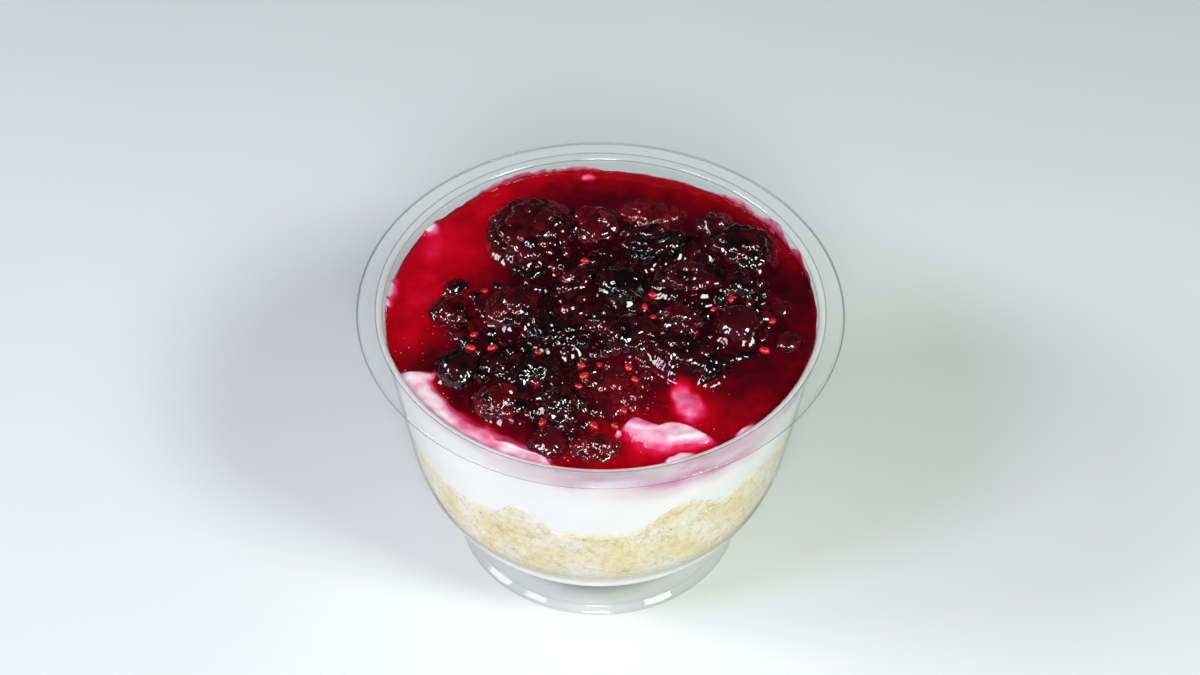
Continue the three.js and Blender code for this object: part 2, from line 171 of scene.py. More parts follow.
def ring_faces(rows, segments, first=0):
    """Faces between rings of points that follow one another."""
    faces = []
    for k in range(rows - 1):
        for s in range(segments):
            a = first + k * segments + s
            b = first + k * segments + (s + 1) % segments
            faces.append((a, b, b + segments, a + segments))
    return faces


def capped_rings(rings, low, high):
    """Points and faces of a closed solid: rings from the bottom up, with a point under and over them."""
    segments = len(rings[0])
    vertices = np.concatenate([*rings, [low, high]])
    faces = ring_faces(len(rings), segments)
    last = (len(rings) - 1) * segments
    for s in range(segments):
        t = (s + 1) % segments
        faces.append((len(vertices) - 2, t, s))
        faces.append((len(vertices) - 1, last + s, last + t))
    return vertices, faces


def rings_of(rows, angles):
    """Rings of points round the axis, from the radius and height of each."""
    ca, sa = np.cos(angles), np.sin(angles)
    return [np.stack([r * ca, r * sa, z * np.ones(len(angles))], axis=1) for r, z in rows]


def round_ball(level):
    """Points and faces of an even ball of radius 1."""
    ball = bmesh.new()
    bmesh.ops.create_icosphere(ball, subdivisions=level, radius=1.0)
    vertices = np.array([v.co for v in ball.verts])
    faces = [tuple(v.index for v in f.verts) for f in ball.faces]
    ball.free()
    return vertices, faces


def lathe(name, profile, segments, material):
    """Closed solid of a profile that starts and ends on the axis, the first point below.

    Each point of the profile is its radius, height, clearness, lowered as painted shade at edges, and its
    milky white at the near and far side, which is painted light.
    """
    angles = np.arange(segments) * 2 * math.pi / segments
    towards_camera = 0.5 - 0.5 * np.sin(angles)
    rings = rings_of([point[:2] for point in profile[1:-1]], angles)
    vertices, faces = capped_rings(rings, (0, 0, profile[0][1]), (0, 0, profile[-1][1]))
    tints = np.ones((len(vertices), 3))
    for k, (_, _, clear, near_painted_light, far_painted_light) in enumerate(profile[1:-1]):
        tints[k * segments : (k + 1) * segments, 0] = clear
        tints[k * segments : (k + 1) * segments, 1] = far_painted_light + (near_painted_light - far_painted_light) * towards_camera
    tints[-2:] = (1, 0, 0)
    return new_object(name, vertices, faces, material, tints)


def catmull_rom(points, steps):
    """Smooth curve through points, with the given number of steps between two of them."""
    p = np.array([points[0], *points, points[-1]], dtype=float)
    curve = []
    for i in range(len(points) - 1):
        a, b, c, d = p[i : i + 4]
        for k in range(steps):
            t = k / steps
            curve.append(
                0.5
                * (
                    2 * b
                    + (c - a) * t
                    + (2 * a - 5 * b + 4 * c - d) * t**2
                    + (3 * b - a - 3 * c + d) * t**3
                )
            )
    curve.append(p[-1])
    return np.array(curve)


def arc(x, z, rx, rz, start, end, steps):
    """Points of an ellipse's arc, between angles in degrees."""
    angles = np.radians(np.linspace(start, end, steps + 1))
    return [(x + rx * math.cos(a), z + rz * math.sin(a)) for a in angles]


OUTER = catmull_rom(OUTER_WALL, 10)
ALONG = np.gradient(OUTER, axis=0)
ALONG /= np.linalg.norm(ALONG, axis=1)[:, None]
INNER = OUTER + WALL * np.stack([ALONG[:, 1], -ALONG[:, 0]], axis=1)
INNER = INNER[INNER[:, 1] > BOWL_FLOOR]


def inner_radius(z):
    """Radius of the inside of the wall at a height."""
    return np.interp(z, INNER[::-1, 1], INNER[::-1, 0])


# Materials

WHITE = (1.0, 1.0, 1.0)
BLACK = (0.0, 0.0, 0.0)


def set_inputs(node, values):
    for name, value in values.items():
        node.inputs[name].default_value = value


class Look:
    """A new node material, with short ways to add the kinds of node that the looks share."""

    def __init__(self, name):
        self.material = bpy.data.materials.new(name)
        self.material.use_nodes = True
        self.nodes = self.material.node_tree.nodes
        self.link = self.material.node_tree.links.new
        self.shader = self.nodes["Principled BSDF"]

    def coordinates(self):
        return self.nodes.new("ShaderNodeTexCoord").outputs["Object"]

    def facing(self):
        """0 where the surface is faced, 1 where it turns away."""
        return self.nodes.new("ShaderNodeLayerWeight").outputs["Facing"]

    def tint(self):
        """The colours that the vertices carry."""
        tint = self.nodes.new("ShaderNodeAttribute")
        tint.attribute_name = "tint"
        return tint.outputs["Color"]

    def noise(self, scale, detail, roughness=0.5, output="Fac"):
        """Noise over the object's own coordinates. Scale is in lumps per metre."""
        texture = self.nodes.new("ShaderNodeTexNoise")
        set_inputs(texture, {"Scale": scale, "Detail": detail, "Roughness": roughness})
        self.link(self.coordinates(), texture.inputs["Vector"])
        return texture.outputs[output]

    def cells(self, scale, vector, feature="F1"):
        """Distance to the middle of the nearest cell, or to the cells' edge."""
        texture = self.nodes.new("ShaderNodeTexVoronoi")
        texture.feature = feature
        texture.inputs["Scale"].default_value = scale
        self.link(vector, texture.inputs["Vector"])
        return texture.outputs["Distance"]

    def ramp(self, value, stops):
        """Colour ramp with stops of position and colour."""
        ramp = self.nodes.new("ShaderNodeValToRGB")
        elements = ramp.color_ramp.elements
        while len(elements) < len(stops):
            elements.new(0.5)
        for element, (position, colour) in zip(elements, stops):
            element.position = position
            element.color = (*colour, 1.0)
        self.link(value, ramp.inputs["Fac"])
        return ramp.outputs["Color"]

    def mix(self, kind, factor, a, b):
        """Colour mix. Factor, a and b are sockets or plain values."""
        mix = self.nodes.new("ShaderNodeMix")
        mix.data_type = "RGBA"
        mix.blend_type = kind
        for socket, value in ((0, factor), (6, a), (7, b)):
            if isinstance(value, bpy.types.NodeSocket):
                self.link(value, mix.inputs[socket])
            else:
                mix.inputs[socket].default_value = value if socket == 0 else (*value, 1.0)
        return mix.outputs[2]

    def multiply(self, a, b, factor=1.0):
        return self.mix("MULTIPLY", factor, a, b)

    def calculate(self, operation, *values):
        """Number worked out from a socket and plain numbers."""
        step = self.nodes.new("ShaderNodeMath")
        step.operation = operation
        self.link(values[0], step.inputs[0])
        for k, value in enumerate(values[1:], start=1):
            step.inputs[k].default_value = value
        return step.outputs[0]

    def mix_shaders(self, factor, a, b):
        mix = self.nodes.new("ShaderNodeMixShader")
        for k, socket in enumerate((factor, a, b)):
            self.link(socket, mix.inputs[k])
        return mix.outputs[0]

    def bump(self, height, distance, strength=1.0):
        bump = self.nodes.new("ShaderNodeBump")
        set_inputs(bump, {"Distance": distance, "Strength": strength})
        self.link(height, bump.inputs["Height"])
        return bump.outputs["Normal"]

    def finish(self, colour, normal, values):
        """Gives the shader its colour, normal and plain values."""
        self.link(colour, self.shader.inputs["Base Color"])
        self.link(normal, self.shader.inputs["Normal"])
        set_inputs(self.shader, values)
        return self.material


# Gloss of the plastic where it is faced, and how much more it has where it turns away
FACED_GLOSS = 0.025
TURNED_GLOSS = 0.42


def clear_plastic():
    """Clear moulded plastic: see-through where it is faced, glossy and greyer where it turns away.

    The red of the vertex colours carries how clear it is, lowered as painted shade at edges, and their
    green how milky white it is, which is painted light for bright bands.
    """
    look = Look("clear_plastic")
    facing = look.facing()
    body = look.ramp(
        facing,
        [(0.6, (0.995, 0.998, 0.998)), (0.9, (0.992, 0.996, 0.998)), (1.0, (0.99, 0.99, 0.995))],
    )
    cloud = look.ramp(look.noise(60, 4), [(0.3, (0.985, 0.99, 0.99)), (0.7, WHITE)])
    parts = look.nodes.new("ShaderNodeSeparateColor")
    look.link(look.tint(), parts.inputs[0])
    see = look.nodes.new("ShaderNodeBsdfTransparent")
    look.link(look.multiply(look.multiply(body, cloud), parts.outputs["Red"]), see.inputs["Color"])
    set_inputs(look.shader, {"Base Color": (0.97, 0.97, 0.94, 1), "Roughness": 0.3})
    # Milky white where the vertex green says so: painted light for the bright bands of the lip, the base
    # and the rim.
    painted_light_mix = look.mix_shaders(parts.outputs["Green"], see.outputs[0], look.shader.outputs[0])
    gloss = look.nodes.new("ShaderNodeBsdfGlossy")
    gloss.inputs["Roughness"].default_value = 0.05
    look.link(look.bump(look.noise(90, 1), 0.00004), gloss.inputs["Normal"])
    steep = look.calculate("POWER", facing, 5.0)
    share = look.calculate("MULTIPLY_ADD", steep, TURNED_GLOSS, FACED_GLOSS)
    surface = look.mix_shaders(share, painted_light_mix, gloss.outputs[0])
    look.link(surface, look.nodes["Material Output"].inputs["Surface"])
    return look.material


# How far the cells of the crumbs are bent out of shape, in metres
CRUMB_WARP = 0.0016


def crumb_material():
    """Pressed biscuit crumbs: pale grains in soft patches of tan and white, with a few dark specks, and
    painted shade in the gaps between grains.
    """
    look = Look("biscuit_crumbs")
    hues = [(0.93, 0.90, 0.82), (0.90, 0.82, 0.64), (0.88, 0.78, 0.50), (0.84, 0.68, 0.38)]
    pale = look.ramp(look.noise(130, 4, 0.6), list(zip((0.34, 0.48, 0.58, 0.70), hues)))
    grains = look.noise(650, 5, 0.75)
    shades = [(0.28, (0.60, 0.50, 0.35)), (0.43, (0.90, 0.87, 0.80)), (0.66, (1.05, 1.05, 1.05))]
    colour = look.multiply(pale, look.ramp(grains, shades), 0.9)
    bent = look.nodes.new("ShaderNodeVectorMath")
    bent.operation = "MULTIPLY_ADD"
    look.link(look.noise(500, 2, output="Color"), bent.inputs[0])
    bent.inputs[1].default_value = (CRUMB_WARP,) * 3
    look.link(look.coordinates(), bent.inputs[2])
    # Darker lines at the cells' edges in some patches: painted shade in the gaps between crumbs.
    edges = look.cells(560, bent.outputs[0], "DISTANCE_TO_EDGE")
    painted_gap_shade = look.ramp(edges, [(0.0, (0.76, 0.67, 0.50)), (0.10, WHITE)])
    here = look.ramp(look.noise(200, 2), [(0.42, BLACK), (0.66, (0.9, 0.9, 0.9))])
    colour = look.multiply(colour, painted_gap_shade, here)
    speck = look.ramp(look.cells(420, bent.outputs[0]), [(0.10, (0.30, 0.22, 0.14)), (0.22, WHITE)])
    few = look.ramp(look.noise(330, 2), [(0.60, BLACK), (0.68, (0.8, 0.8, 0.8))])
    values = {
        "Roughness": 0.85,
        "Subsurface Weight": 0.15,
        "Subsurface Radius": (1.0, 0.7, 0.4),
        "Subsurface Scale": 0.0012,
    }
    return look.finish(look.multiply(colour, speck, few), look.bump(grains, 0.0008, 0.5), values)


def cream_material():
    """Soft cream cheese, white with the pink stain that its vertex colours carry."""
    look = Look("cream_cheese")
    patches = look.ramp(look.noise(160, 4), [(0.3, (0.965, 0.965, 0.96)), (0.7, WHITE)])
    values = {
        "Roughness": 0.32,
        "Coat Weight": 0.35,
        "Coat Roughness": 0.12,
        "Subsurface Weight": 0.25,
        "Subsurface Radius": (1.0, 0.75, 0.7),
        "Subsurface Scale": 0.0015,
    }
    colour = look.multiply(look.tint(), patches)
    return look.finish(colour, look.bump(look.noise(900, 3), 0.00012, 0.5), values)


def near_front(look):
    """White over the near half of the filling, black over the far half."""
    apart = look.nodes.new("ShaderNodeSeparateXYZ")
    look.link(look.coordinates(), apart.inputs[0])
    reach = look.nodes.new("ShaderNodeMapRange")
    look.link(apart.outputs["Y"], reach.inputs["Value"])
    set_inputs(reach, {"From Min": 0.004, "From Max": -0.016})
    return reach.outputs["Result"]


FROTH_AND_GLINTS = (0.62, 0.40, 0.46)
WET_BUMP = 0.00004


def wet_material(name, roughness, coat_roughness, coat_ior, bump_scale, sparkle):
    """Wet fruit or sauce under a clear glaze. Vertex colours carry the depth and the ripeness. Pale
    specks over the near half are froth, partly painted glints.
    """
    look = Look(name)
    shade = look.ramp(look.noise(500, 3), [(0.35, (0.72, 0.72, 0.72)), (0.65, (1.2, 1.2, 1.2))])
    colour = look.multiply(look.tint(), shade, sparkle)
    # Pale pink specks over the near half: froth, and partly painted glints of small highlights.
    dot = look.ramp(look.cells(900, look.coordinates()), [(0.09, WHITE), (0.14, BLACK)])
    where = look.ramp(look.noise(110, 2), [(0.54, BLACK), (0.62, WHITE)])
    froth_and_glints = look.multiply(look.multiply(dot, where), near_front(look))
    normal = look.bump(look.noise(bump_scale, 2), WET_BUMP)
    look.link(normal, look.shader.inputs["Coat Normal"])
    faced = look.ramp(look.facing(), [(0.70, WHITE), (0.95, (0.2, 0.2, 0.2))])
    look.link(faced, look.shader.inputs["Coat Weight"])
    values = {
        "Roughness": roughness,
        "Specular IOR Level": 0.05,
        "Coat Roughness": coat_roughness,
        "Coat IOR": coat_ior,
    }
    return look.finish(look.mix("MIX", froth_and_glints, colour, FROTH_AND_GLINTS), normal, values)


def fruit_material(name):
    return wet_material(name, 0.4, 0.04, 1.68, 800, 0.7)


def floor_material():
    """Smooth pale tabletop."""
    look = Look("pale_floor")
    colour = look.ramp(look.noise(9, 5), [(0.3, (0.735, 0.765, 0.765)), (0.7, (0.76, 0.79, 0.79))])
    look.link(colour, look.shader.inputs["Base Color"])
    look.shader.inputs["Roughness"].default_value = 0.6
    return look.material


# Cup

CUP_SEGMENTS = 192
# Share of light that goes through the rim's edges, the foot and the wall, lowered at the rim's and the
# foot lip's edges and under the bowl as painted shade; and how milky white the lip's bend, the bowl's
# curved base and the rim are, which is painted light for the bright bands they show
EDGE_CLEAR_PAINTED_SHADE = 0.55
FOOT_CLEAR = 1.0
FOOT_EDGE_CLEAR_PAINTED_SHADE = 0.94
WALL_CLEAR = 0.98
UNDER_BOWL_CLEAR_PAINTED_SHADE = 0.80
LIP_PAINTED_LIGHT = (0.5, 0.1)
BASE_PAINTED_LIGHT = 1.0
BASE_HEIGHT = 16.5
BASE_REACH = 4.0
RIM_PAINTED_LIGHT = (0.06, 0.22)


def base_painted_light(z):
    """Painted light of the bowl's curved base at a height, as milky white, at the near and far side."""
    painted_light = BASE_PAINTED_LIGHT * float(bell(z - BASE_HEIGHT, BASE_REACH))
    return painted_light, 0.25 * painted_light


def foot_clear(r, z):
    """Share of light that goes through the foot, less at the edges of its lip and under the bowl: painted
    shade.
    """
    if z > 5:
        return UNDER_BOWL_CLEAR_PAINTED_SHADE
    at_edge = r > FOOT_RADIUS - 0.4 and z < 0.5 or abs(z - FOOT_LIP_HEIGHT - 0.4) < 0.1
    return FOOT_EDGE_CLEAR_PAINTED_SHADE if at_edge else FOOT_CLEAR


def lip_painted_light(k):
    """Painted light of the lip's bend at its point k, as milky white, at the near and far side."""
    return (0.0, 0.0) if k in (0, 7, 10) else LIP_PAINTED_LIGHT


def make_cup():
    """The clear moulding: bowl, flat rim with a rounded lip, and hollow foot with a lip."""
    under_rim = CUP_HEIGHT - RIM_THICKNESS
    inner_edge = RIM_INNER_RADIUS - INNER[0, 0]
    half = RIM_THICKNESS / 2
    lip_inner = FOOT_RADIUS - FOOT_LIP_WIDTH
    corner = 0.3
    bevel = [(FOOT_RADIUS - 0.03, 0.43)]
    for slope in (43, 47, 51, 55):
        r, z = bevel[-1]
        bevel.append((r - 0.24 * math.sin(math.radians(slope)), z + 0.24 * math.cos(math.radians(slope))))
    foot = [
        (FOOT_TOP_RADIUS - WALL - 0.6, BOWL_FLOOR - FLOOR_THICKNESS),
        *arc(FOOT_TOP_RADIUS - WALL - 0.6, BOWL_FLOOR - FLOOR_THICKNESS - 0.6, 0.6, 0.6, 80, 5, 4),
        (lip_inner - WALL - 0.6, 4.2),
        (lip_inner - WALL - 0.25, 2.4),
        *arc(lip_inner - WALL + corner, corner, corner, corner, 180, 270, 4),
        *arc(FOOT_RADIUS - corner, corner, corner, corner, 270, 375, 6),
        *bevel,
        (lip_inner + 0.45, FOOT_LIP_HEIGHT + 0.12),
        (lip_inner + 0.1, FOOT_LIP_HEIGHT + 0.4),
        (lip_inner - 0.12, FOOT_LIP_HEIGHT + 1.0),
        (lip_inner - 0.45, 4.2),
        (lip_inner - 0.9, 6.8),
    ]
    edge = arc(RIM_RADIUS - half, CUP_HEIGHT - half, half, half, -90, 90, 10)
    lip = arc(RIM_INNER_RADIUS, under_rim - 0.5, inner_edge, RIM_THICKNESS + 0.5, 90, 180, 10)
    profile = [
        (0.0, BOWL_FLOOR - FLOOR_THICKNESS, 1.0, 0.0, 0.0),
        *[(r, z, foot_clear(r, z), 0.0, 0.0) for r, z in foot],
        *[(r, z, WALL_CLEAR if z < 55 else 1.0, *base_painted_light(z)) for r, z in OUTER[::-1].tolist()],
        (RIM_RADIUS - RIM_THICKNESS, under_rim, 1.0, 0.0, 0.0),
        # The rim's outer edge lets less light through: painted shade for its dark outline.
        *[(r, z, EDGE_CLEAR_PAINTED_SHADE if 1 <= k <= 4 else 1.0, 0.0, 0.0) for k, (r, z) in enumerate(edge)],
        (RIM_RADIUS - RIM_THICKNESS, CUP_HEIGHT, 1.0, *RIM_PAINTED_LIGHT),
        (RIM_INNER_RADIUS + 0.2, CUP_HEIGHT, 1.0, *RIM_PAINTED_LIGHT),
        # The lip's ends let less light through, painted shade for dark lines, and its bend is milky
        # white, painted light.
        *[(r, z, EDGE_CLEAR_PAINTED_SHADE if k in (0, 7) else 1.0, *lip_painted_light(k)) for k, (r, z) in enumerate(lip)],
        *[(r, z, 1.0, 0.0, 0.0) for r, z in INNER[1:].tolist()],
        (FOOT_TOP_RADIUS - 2.2, BOWL_FLOOR, 1.0, 0.0, 0.0),
        (0.0, BOWL_FLOOR, 1.0, 0.0, 0.0),
    ]
    cup = lathe("clear_cup", profile, CUP_SEGMENTS, clear_plastic())
    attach(cup, "root")
    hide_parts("cup")


# Crumbs and cream

CRUMB_SEGMENTS = 660
CRUMB_ROWS = 22
# High places of the crumbs' uneven top: angle, rise and width
CRUMB_HILLS = [
    (-112, 6.5, 6), (-66, 6.5, 9), (-38, 4.2, 22), (8, 3.2, 17),
    (62, 4.5, 13), (118, 3.5, 19), (168, 4, 11),
]


def crumb_line(angle):
    """Height of the crumbs' top at the wall, at an angle in degrees."""
    hills = sum(rise * bell(turn(angle, at), width) for at, rise, width in CRUMB_HILLS)
    a = np.radians(angle)
    place = plane_points(np.cos(a) * 42, np.sin(a) * 42)
    rough = 0.45 * noise(place, 3.2, 5) + 0.3 * noise(place, 1.4, 6) + 0.16 * noise(place, 0.7, 7)
    return CRUMB_TOP - 0.4 + hills + rough


def make_crumbs():
    """Crumbs seen through the wall, up to their ragged top."""
    angle = np.arange(CRUMB_SEGMENTS) * 360.0 / CRUMB_SEGMENTS
    a = np.radians(angle)
    floor = BOWL_FLOOR + 0.05
    top = crumb_line(angle)
    rows = []
    for r in (0.35, 0.7, 0.97):
        rows.append((r * (inner_radius(floor) - 0.2), floor))
    for t in np.linspace(0.012, 1, CRUMB_ROWS):
        z = floor + (top - floor) * t
        rows.append((inner_radius(z) + INTO_WALL, z))
    for r in (0.97, 0.9, 0.7, 0.4):
        rows.append((r * inner_radius(top), top - (1 - r) * 6))
    vertices, faces = capped_rings(rings_of(rows, a), (0, 0, floor), (0, 0, CRUMB_TOP - 3))
    crumbs = new_object("biscuit_crumbs", vertices, faces, crumb_material())
    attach(crumbs, "root")
    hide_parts("biscuit_base")


CREAM_SEGMENTS = 660
CREAM_SIDE_ROWS = 32
CREAM_RING_STEP = 0.4
# Folds of cream that stand up through the sauce: middle, rise over it, length, width, turn about +Z
CREAM_FOLDS = [
    (17.0, -24.2, 0.3, 7.6, 9.6, 8),
    (15.4, -20.8, 0.1, 5.0, 7.0, 0),
    (-42.0, 6.0, 0.8, 11.5, 5.2, 82),
    (-34.6, 24.2, 0.8, 5.6, 5.0, 55),
    (15.8, -37.6, 1.3, 9.0, 3.4, 20),
    (27.8, -30.6, 1.1, 8.0, 3.4, 42),
    (-2.9, 40.0, 0.3, 3.6, 2.4, 0),
    # The last two are small white bumps of cream in place of glinting clear droplets: painted highlights.
    (3.6, -31.4, 1.1, 1.9, 1.5, 60),
    (6.6, -32.6, 1.2, 1.8, 1.3, 75),
]
FOLD_DEPTH = 3.0
# How high over the level cream is smeared up the near wall
WALL_CREAM = 2.2
# The leaf of cream near the front, seen from above: its far and its near edge, from left to right
LEAF_FAR = [
    (4.0, -30.4), (5.0, -28.2), (6.7, -26.8), (8.8, -27.5), (10.9, -28.4),
    (13.2, -27.8), (15.6, -28.1), (18.2, -29.4), (20.6, -31.2), (22.2, -33.0),
]
LEAF_NEAR = [
    (4.0, -30.8), (6.0, -33.4), (8.6, -35.1), (11.6, -35.9),
    (14.6, -35.7), (17.6, -35.3), (20.2, -34.4), (22.2, -33.2),
]
LEAF_FAR_CURVE = catmull_rom(LEAF_FAR, 6)
LEAF_NEAR_CURVE = catmull_rom(LEAF_NEAR, 6)
LEAF_RISE = 1.0
# The leaf's thick pink flap and its white ridge: middle, half sizes, turn
LEAF_FLAP = (7.9, -28.5, 3.4, 1.6, -14)
LEAF_RIDGE = (16.6, -32.3, 2.6, 0.7, 14)
# Band of cream that shows along the near left wall: its ends, its width, and the peak at its far end
BAND_FROM, BAND_TO = -156.0, -98.0
BAND_WIDTH = 5.4
BAND_PEAK = (-152.6, 2.2, 1.6)
# Hills and dips of cream under the sauce, paler over a hill: middle, radius and the depth there
CREAM_HILLS = [
    (-34.0, 4.0, 11.0, 1.2),
    (-31.0, 19.0, 12.0, 0.8),
    (-37.0, -7.0, 6.5, 1.2),
    (-22.0, 31.0, 7.0, 1.5),
    (19.0, -25.5, 8.0, 1.3),
    (-16.0, -34.5, 6.0, 1.2),
    (6.0, -33.0, 8.0, 1.2),
    (39.0, 4.0, 10.0, 6.4),
    (34.0, -14.0, 10.0, 5.8),
]


def tilted_place(x, y, shape):
    """How far out places are on a turned oval, 1 at its edge, and how far across it."""
    cx, cy, half_length, half_width, yaw = shape
    c, s = math.cos(math.radians(yaw)), math.sin(math.radians(yaw))
    along, across = (x - cx) * c + (y - cy) * s, (y - cy) * c - (x - cx) * s
    return np.hypot(along / half_length, across / half_width), across / half_width


def leaf_inside(x, y):
    """How far places are in front of the leaf's far edge, and behind its near one."""
    far = np.interp(x, LEAF_FAR_CURVE[:, 0], LEAF_FAR_CURVE[:, 1], left=-99, right=-99)
    near = np.interp(x, LEAF_NEAR_CURVE[:, 0], LEAF_NEAR_CURVE[:, 1], left=99, right=99)
    ragged = 0.22 * noise(plane_points(x, y), 1.8, 16)
    return far - y + ragged, y - near + ragged


def cream_leaf(x, y):
    """Height of the leaf over the sauce's level, steep at the far side and sinking to the near one."""
    behind, before = leaf_inside(x, y)
    place = plane_points(x, y)
    top = LEAF_RISE + 0.22 * noise(place, 3.0, 17) + 0.08 * noise(place, 1.1, 18)
    out, across = tilted_place(x, y, LEAF_FLAP)
    top = top + 0.4 * smoothstep(1.05, 0.9, out) * (1 - 0.5 * across)
    top = top + 0.3 * bell(tilted_place(x, y, LEAF_RIDGE)[0], 1.0)
    return smooth_min(smooth_min(top, -1.2 + 2.8 * behind), -0.6 + 0.75 * before)


def band_width(angle):
    begins = smoothstep(BAND_FROM - 2.5, BAND_FROM + 1.5, angle)
    ends = smoothstep(BAND_TO, BAND_TO - 9, angle)
    peak_at, peak_width, peak_reach = BAND_PEAK
    return BAND_WIDTH * begins * ends + peak_width * bell(turn(angle, peak_at), peak_reach)


def band_inward(x, y):
    """How far places are from the near left wall, 1 at the inner side of the band of cream."""
    width = band_width(angle_of(x, y))
    ragged = 0.6 * noise(plane_points(x, y), 3.4, 15) + 0.25 * noise(plane_points(x, y), 1.3, 19)
    inward = np.clip(inner_radius(SAUCE_LEVEL) - np.hypot(x, y) + ragged, 0, 99)
    return inward / np.clip(width, 0.5, 99) + 9 * smoothstep(1.0, 0.5, width)


def near_side(angle):
    """1 along the near wall and 0 along the far one."""
    return smoothstep(10, -20, angle) * smoothstep(-178, -158, angle)


def cream_top(x, y):
    """Height of the cream: a dish that climbs to the wall, with hills and folds on it."""
    r = np.hypot(x, y)
    angle = angle_of(x, y)
    place = plane_points(x, y)
    top = CREAM_MIDDLE + CREAM_EDGE_RISE * (r / RIM_INNER_RADIUS) ** 5
    for hx, hy, radius, depth in CREAM_HILLS:
        near = bell(np.hypot(x - hx, y - hy), radius)
        top = top + (SAUCE_LEVEL - depth - top) * near
    uneven = 0.4 * layered_noise(place, 7.0, 14) + 0.25 * noise(place, 2.6, 29)
    top = top + uneven * smoothstep(41.5, 37.0, r)
    ragged = 0.12 * noise(place, 2.6, 13) + 0.06 * noise(place, 1.0, 10)
    lumps = 0.3 * noise(place, 1.9, 93)
    for fx, fy, rise, length, width, yaw in CREAM_FOLDS:
        off = tilted_place(x, y, (fx, fy, length / 2, width / 2, yaw))[0] + ragged
        dome = SAUCE_LEVEL + rise - FOLD_DEPTH * np.clip(off, 0, 1.6) ** 4 + lumps
        top = np.where(off < 1.5, smooth_max(top, dome, 0.4), top)
    top = smooth_max(top, SAUCE_LEVEL + cream_leaf(x, y), 0.3)
    inward = band_inward(x, y)
    ridge = SAUCE_LEVEL - 0.3 + 1.25 * smoothstep(0.5, 4.0, band_width(angle))
    ridge = ridge - 2.6 * np.clip(inward, 0, 1.5) ** 7
    wavy = inward - 0.55 - 0.12 * noise(place, 2.4, 27)
    ridge = ridge + 0.3 * bell(wavy, 0.1) * smoothstep(-128, -118, angle) + 0.12 * noise(place, 1.6, 28)
    top = np.where(inward < 2, smooth_max(top, ridge, 0.3), top)
    on_wall = near_side(angle) * smoothstep(41.6, 42.15, r)
    top = np.where(on_wall > 0, np.maximum(top, SAUCE_LEVEL - 3 + (3 + WALL_CREAM) * on_wall), top)
    return top + 0.10 * noise(place, 2.2, 11) + 0.05 * noise(place, 0.9, 12)


def make_cream(sauce_at):
    """Cream from behind the crumbs up the wall and over its top."""
    a = np.radians(np.arange(CREAM_SEGMENTS) * 360.0 / CREAM_SEGMENTS)
    ca, sa = np.cos(a), np.sin(a)
    base = CRUMB_TOP - 3.5
    edge = inner_radius(SAUCE_LEVEL)
    over = cream_top(edge * ca, edge * sa)
    rows = []
    for t in np.linspace(0, 1, CREAM_SIDE_ROWS):
        z = base + (over - base) * t
        rows.append((inner_radius(z) + INTO_WALL * 0.6, z))
    for r in [*np.arange(42.2, 24, -CREAM_RING_STEP), 20, 14, 7]:
        rows.append((r, cream_top(r * ca, r * sa)))
    vertices, faces = capped_rings(rings_of(rows, a), (0, 0, base), (0, 0, CREAM_MIDDLE))
    cream = new_object("cream", vertices, faces, cream_material(), cream_tint(vertices, sauce_at))
    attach(cream, "root")
    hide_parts("cream_cheese")


CREAM_WHITE = np.array([0.91, 0.895, 0.875])
CREAM_PINK = np.array([0.60, 0.18, 0.34])
# Share of red, green and blue light that a millimetre of sauce takes away
CLEAR_SHARE = np.array([0.20, 2.3, 1.45])
# Colour that a deep layer of sauce sends back by itself
SAUCE_HAZE = np.array([0.004, 0.0001, 0.0040])


def through_sauce(white, depth):
    """Colour of something white under a depth of sauce, which the light crosses twice."""
    depth = depth[..., None]
    return white * np.exp(-CLEAR_SHARE * 2 * depth) + SAUCE_HAZE * (1 - np.exp(-depth))


def film_on_cream(x, y, above):
    """Depth of the sauce that clings to cream at a height above the level."""
    place = plane_points(x, y)
    film = 0.13 + 0.20 * layered_noise(place, 2.6, 23) + 0.1 * smoothstep(-33, -39, x)
    angle = angle_of(x, y)
    inward = band_inward(x, y)
    on_band = smoothstep(1.4, 1.05, inward)
    along = smoothstep(-148, -130, angle)
    band = 0.01 + along * (0.06 + 0.26 * smoothstep(0.25, 0.6, inward) + 0.14 * noise(place, 1.6, 25))
    band = band + 0.45 * smoothstep(-122, -108, angle) * smoothstep(0.35, 0.05, inward)
    # Thinner film along the band's wavy ridge makes a white line there: a painted highlight, over a real
    # raised ridge.
    wavy = inward - 0.55 - 0.12 * noise(place, 2.4, 27)
    band = band - 0.3 * bell(wavy, 0.07) * smoothstep(-128, -118, angle)
    film = film * (1 - on_band) + np.clip(band, 0, 2) * on_band
    behind, before = leaf_inside(x, y)
    on_leaf = smoothstep(-0.3, 0.3, np.minimum(behind, before))
    out = tilted_place(x, y, LEAF_FLAP)[0]
    leaf = 0.10 + 0.09 * noise(place, 1.5, 26) + 0.30 * smoothstep(2.4, 0.6, before)
    leaf = leaf + 0.26 * smoothstep(1.04, 0.9, out) - 0.1 * bell(out - 1.12, 0.12)
    leaf = leaf - 0.2 * bell(tilted_place(x, y, LEAF_RIDGE)[0], 1.0)
    film = film * (1 - on_leaf) + leaf * on_leaf
    return np.clip(film, 0.0, 1.5) + 0.35 * np.exp(-np.clip(above, 0, 9) / 0.3)


# Pink stain behind the wall under the rim: angle, reach along the wall, its lower edge and its strength
WALL_STAINS = [
    (-62, 24, 47.0, 1.0), (-92, 26, 51.5, 0.85), (-135, 30, 53.0, 0.5),
    (-20, 26, 52.0, 0.6), (171, 24, 54.0, 1.0),
]


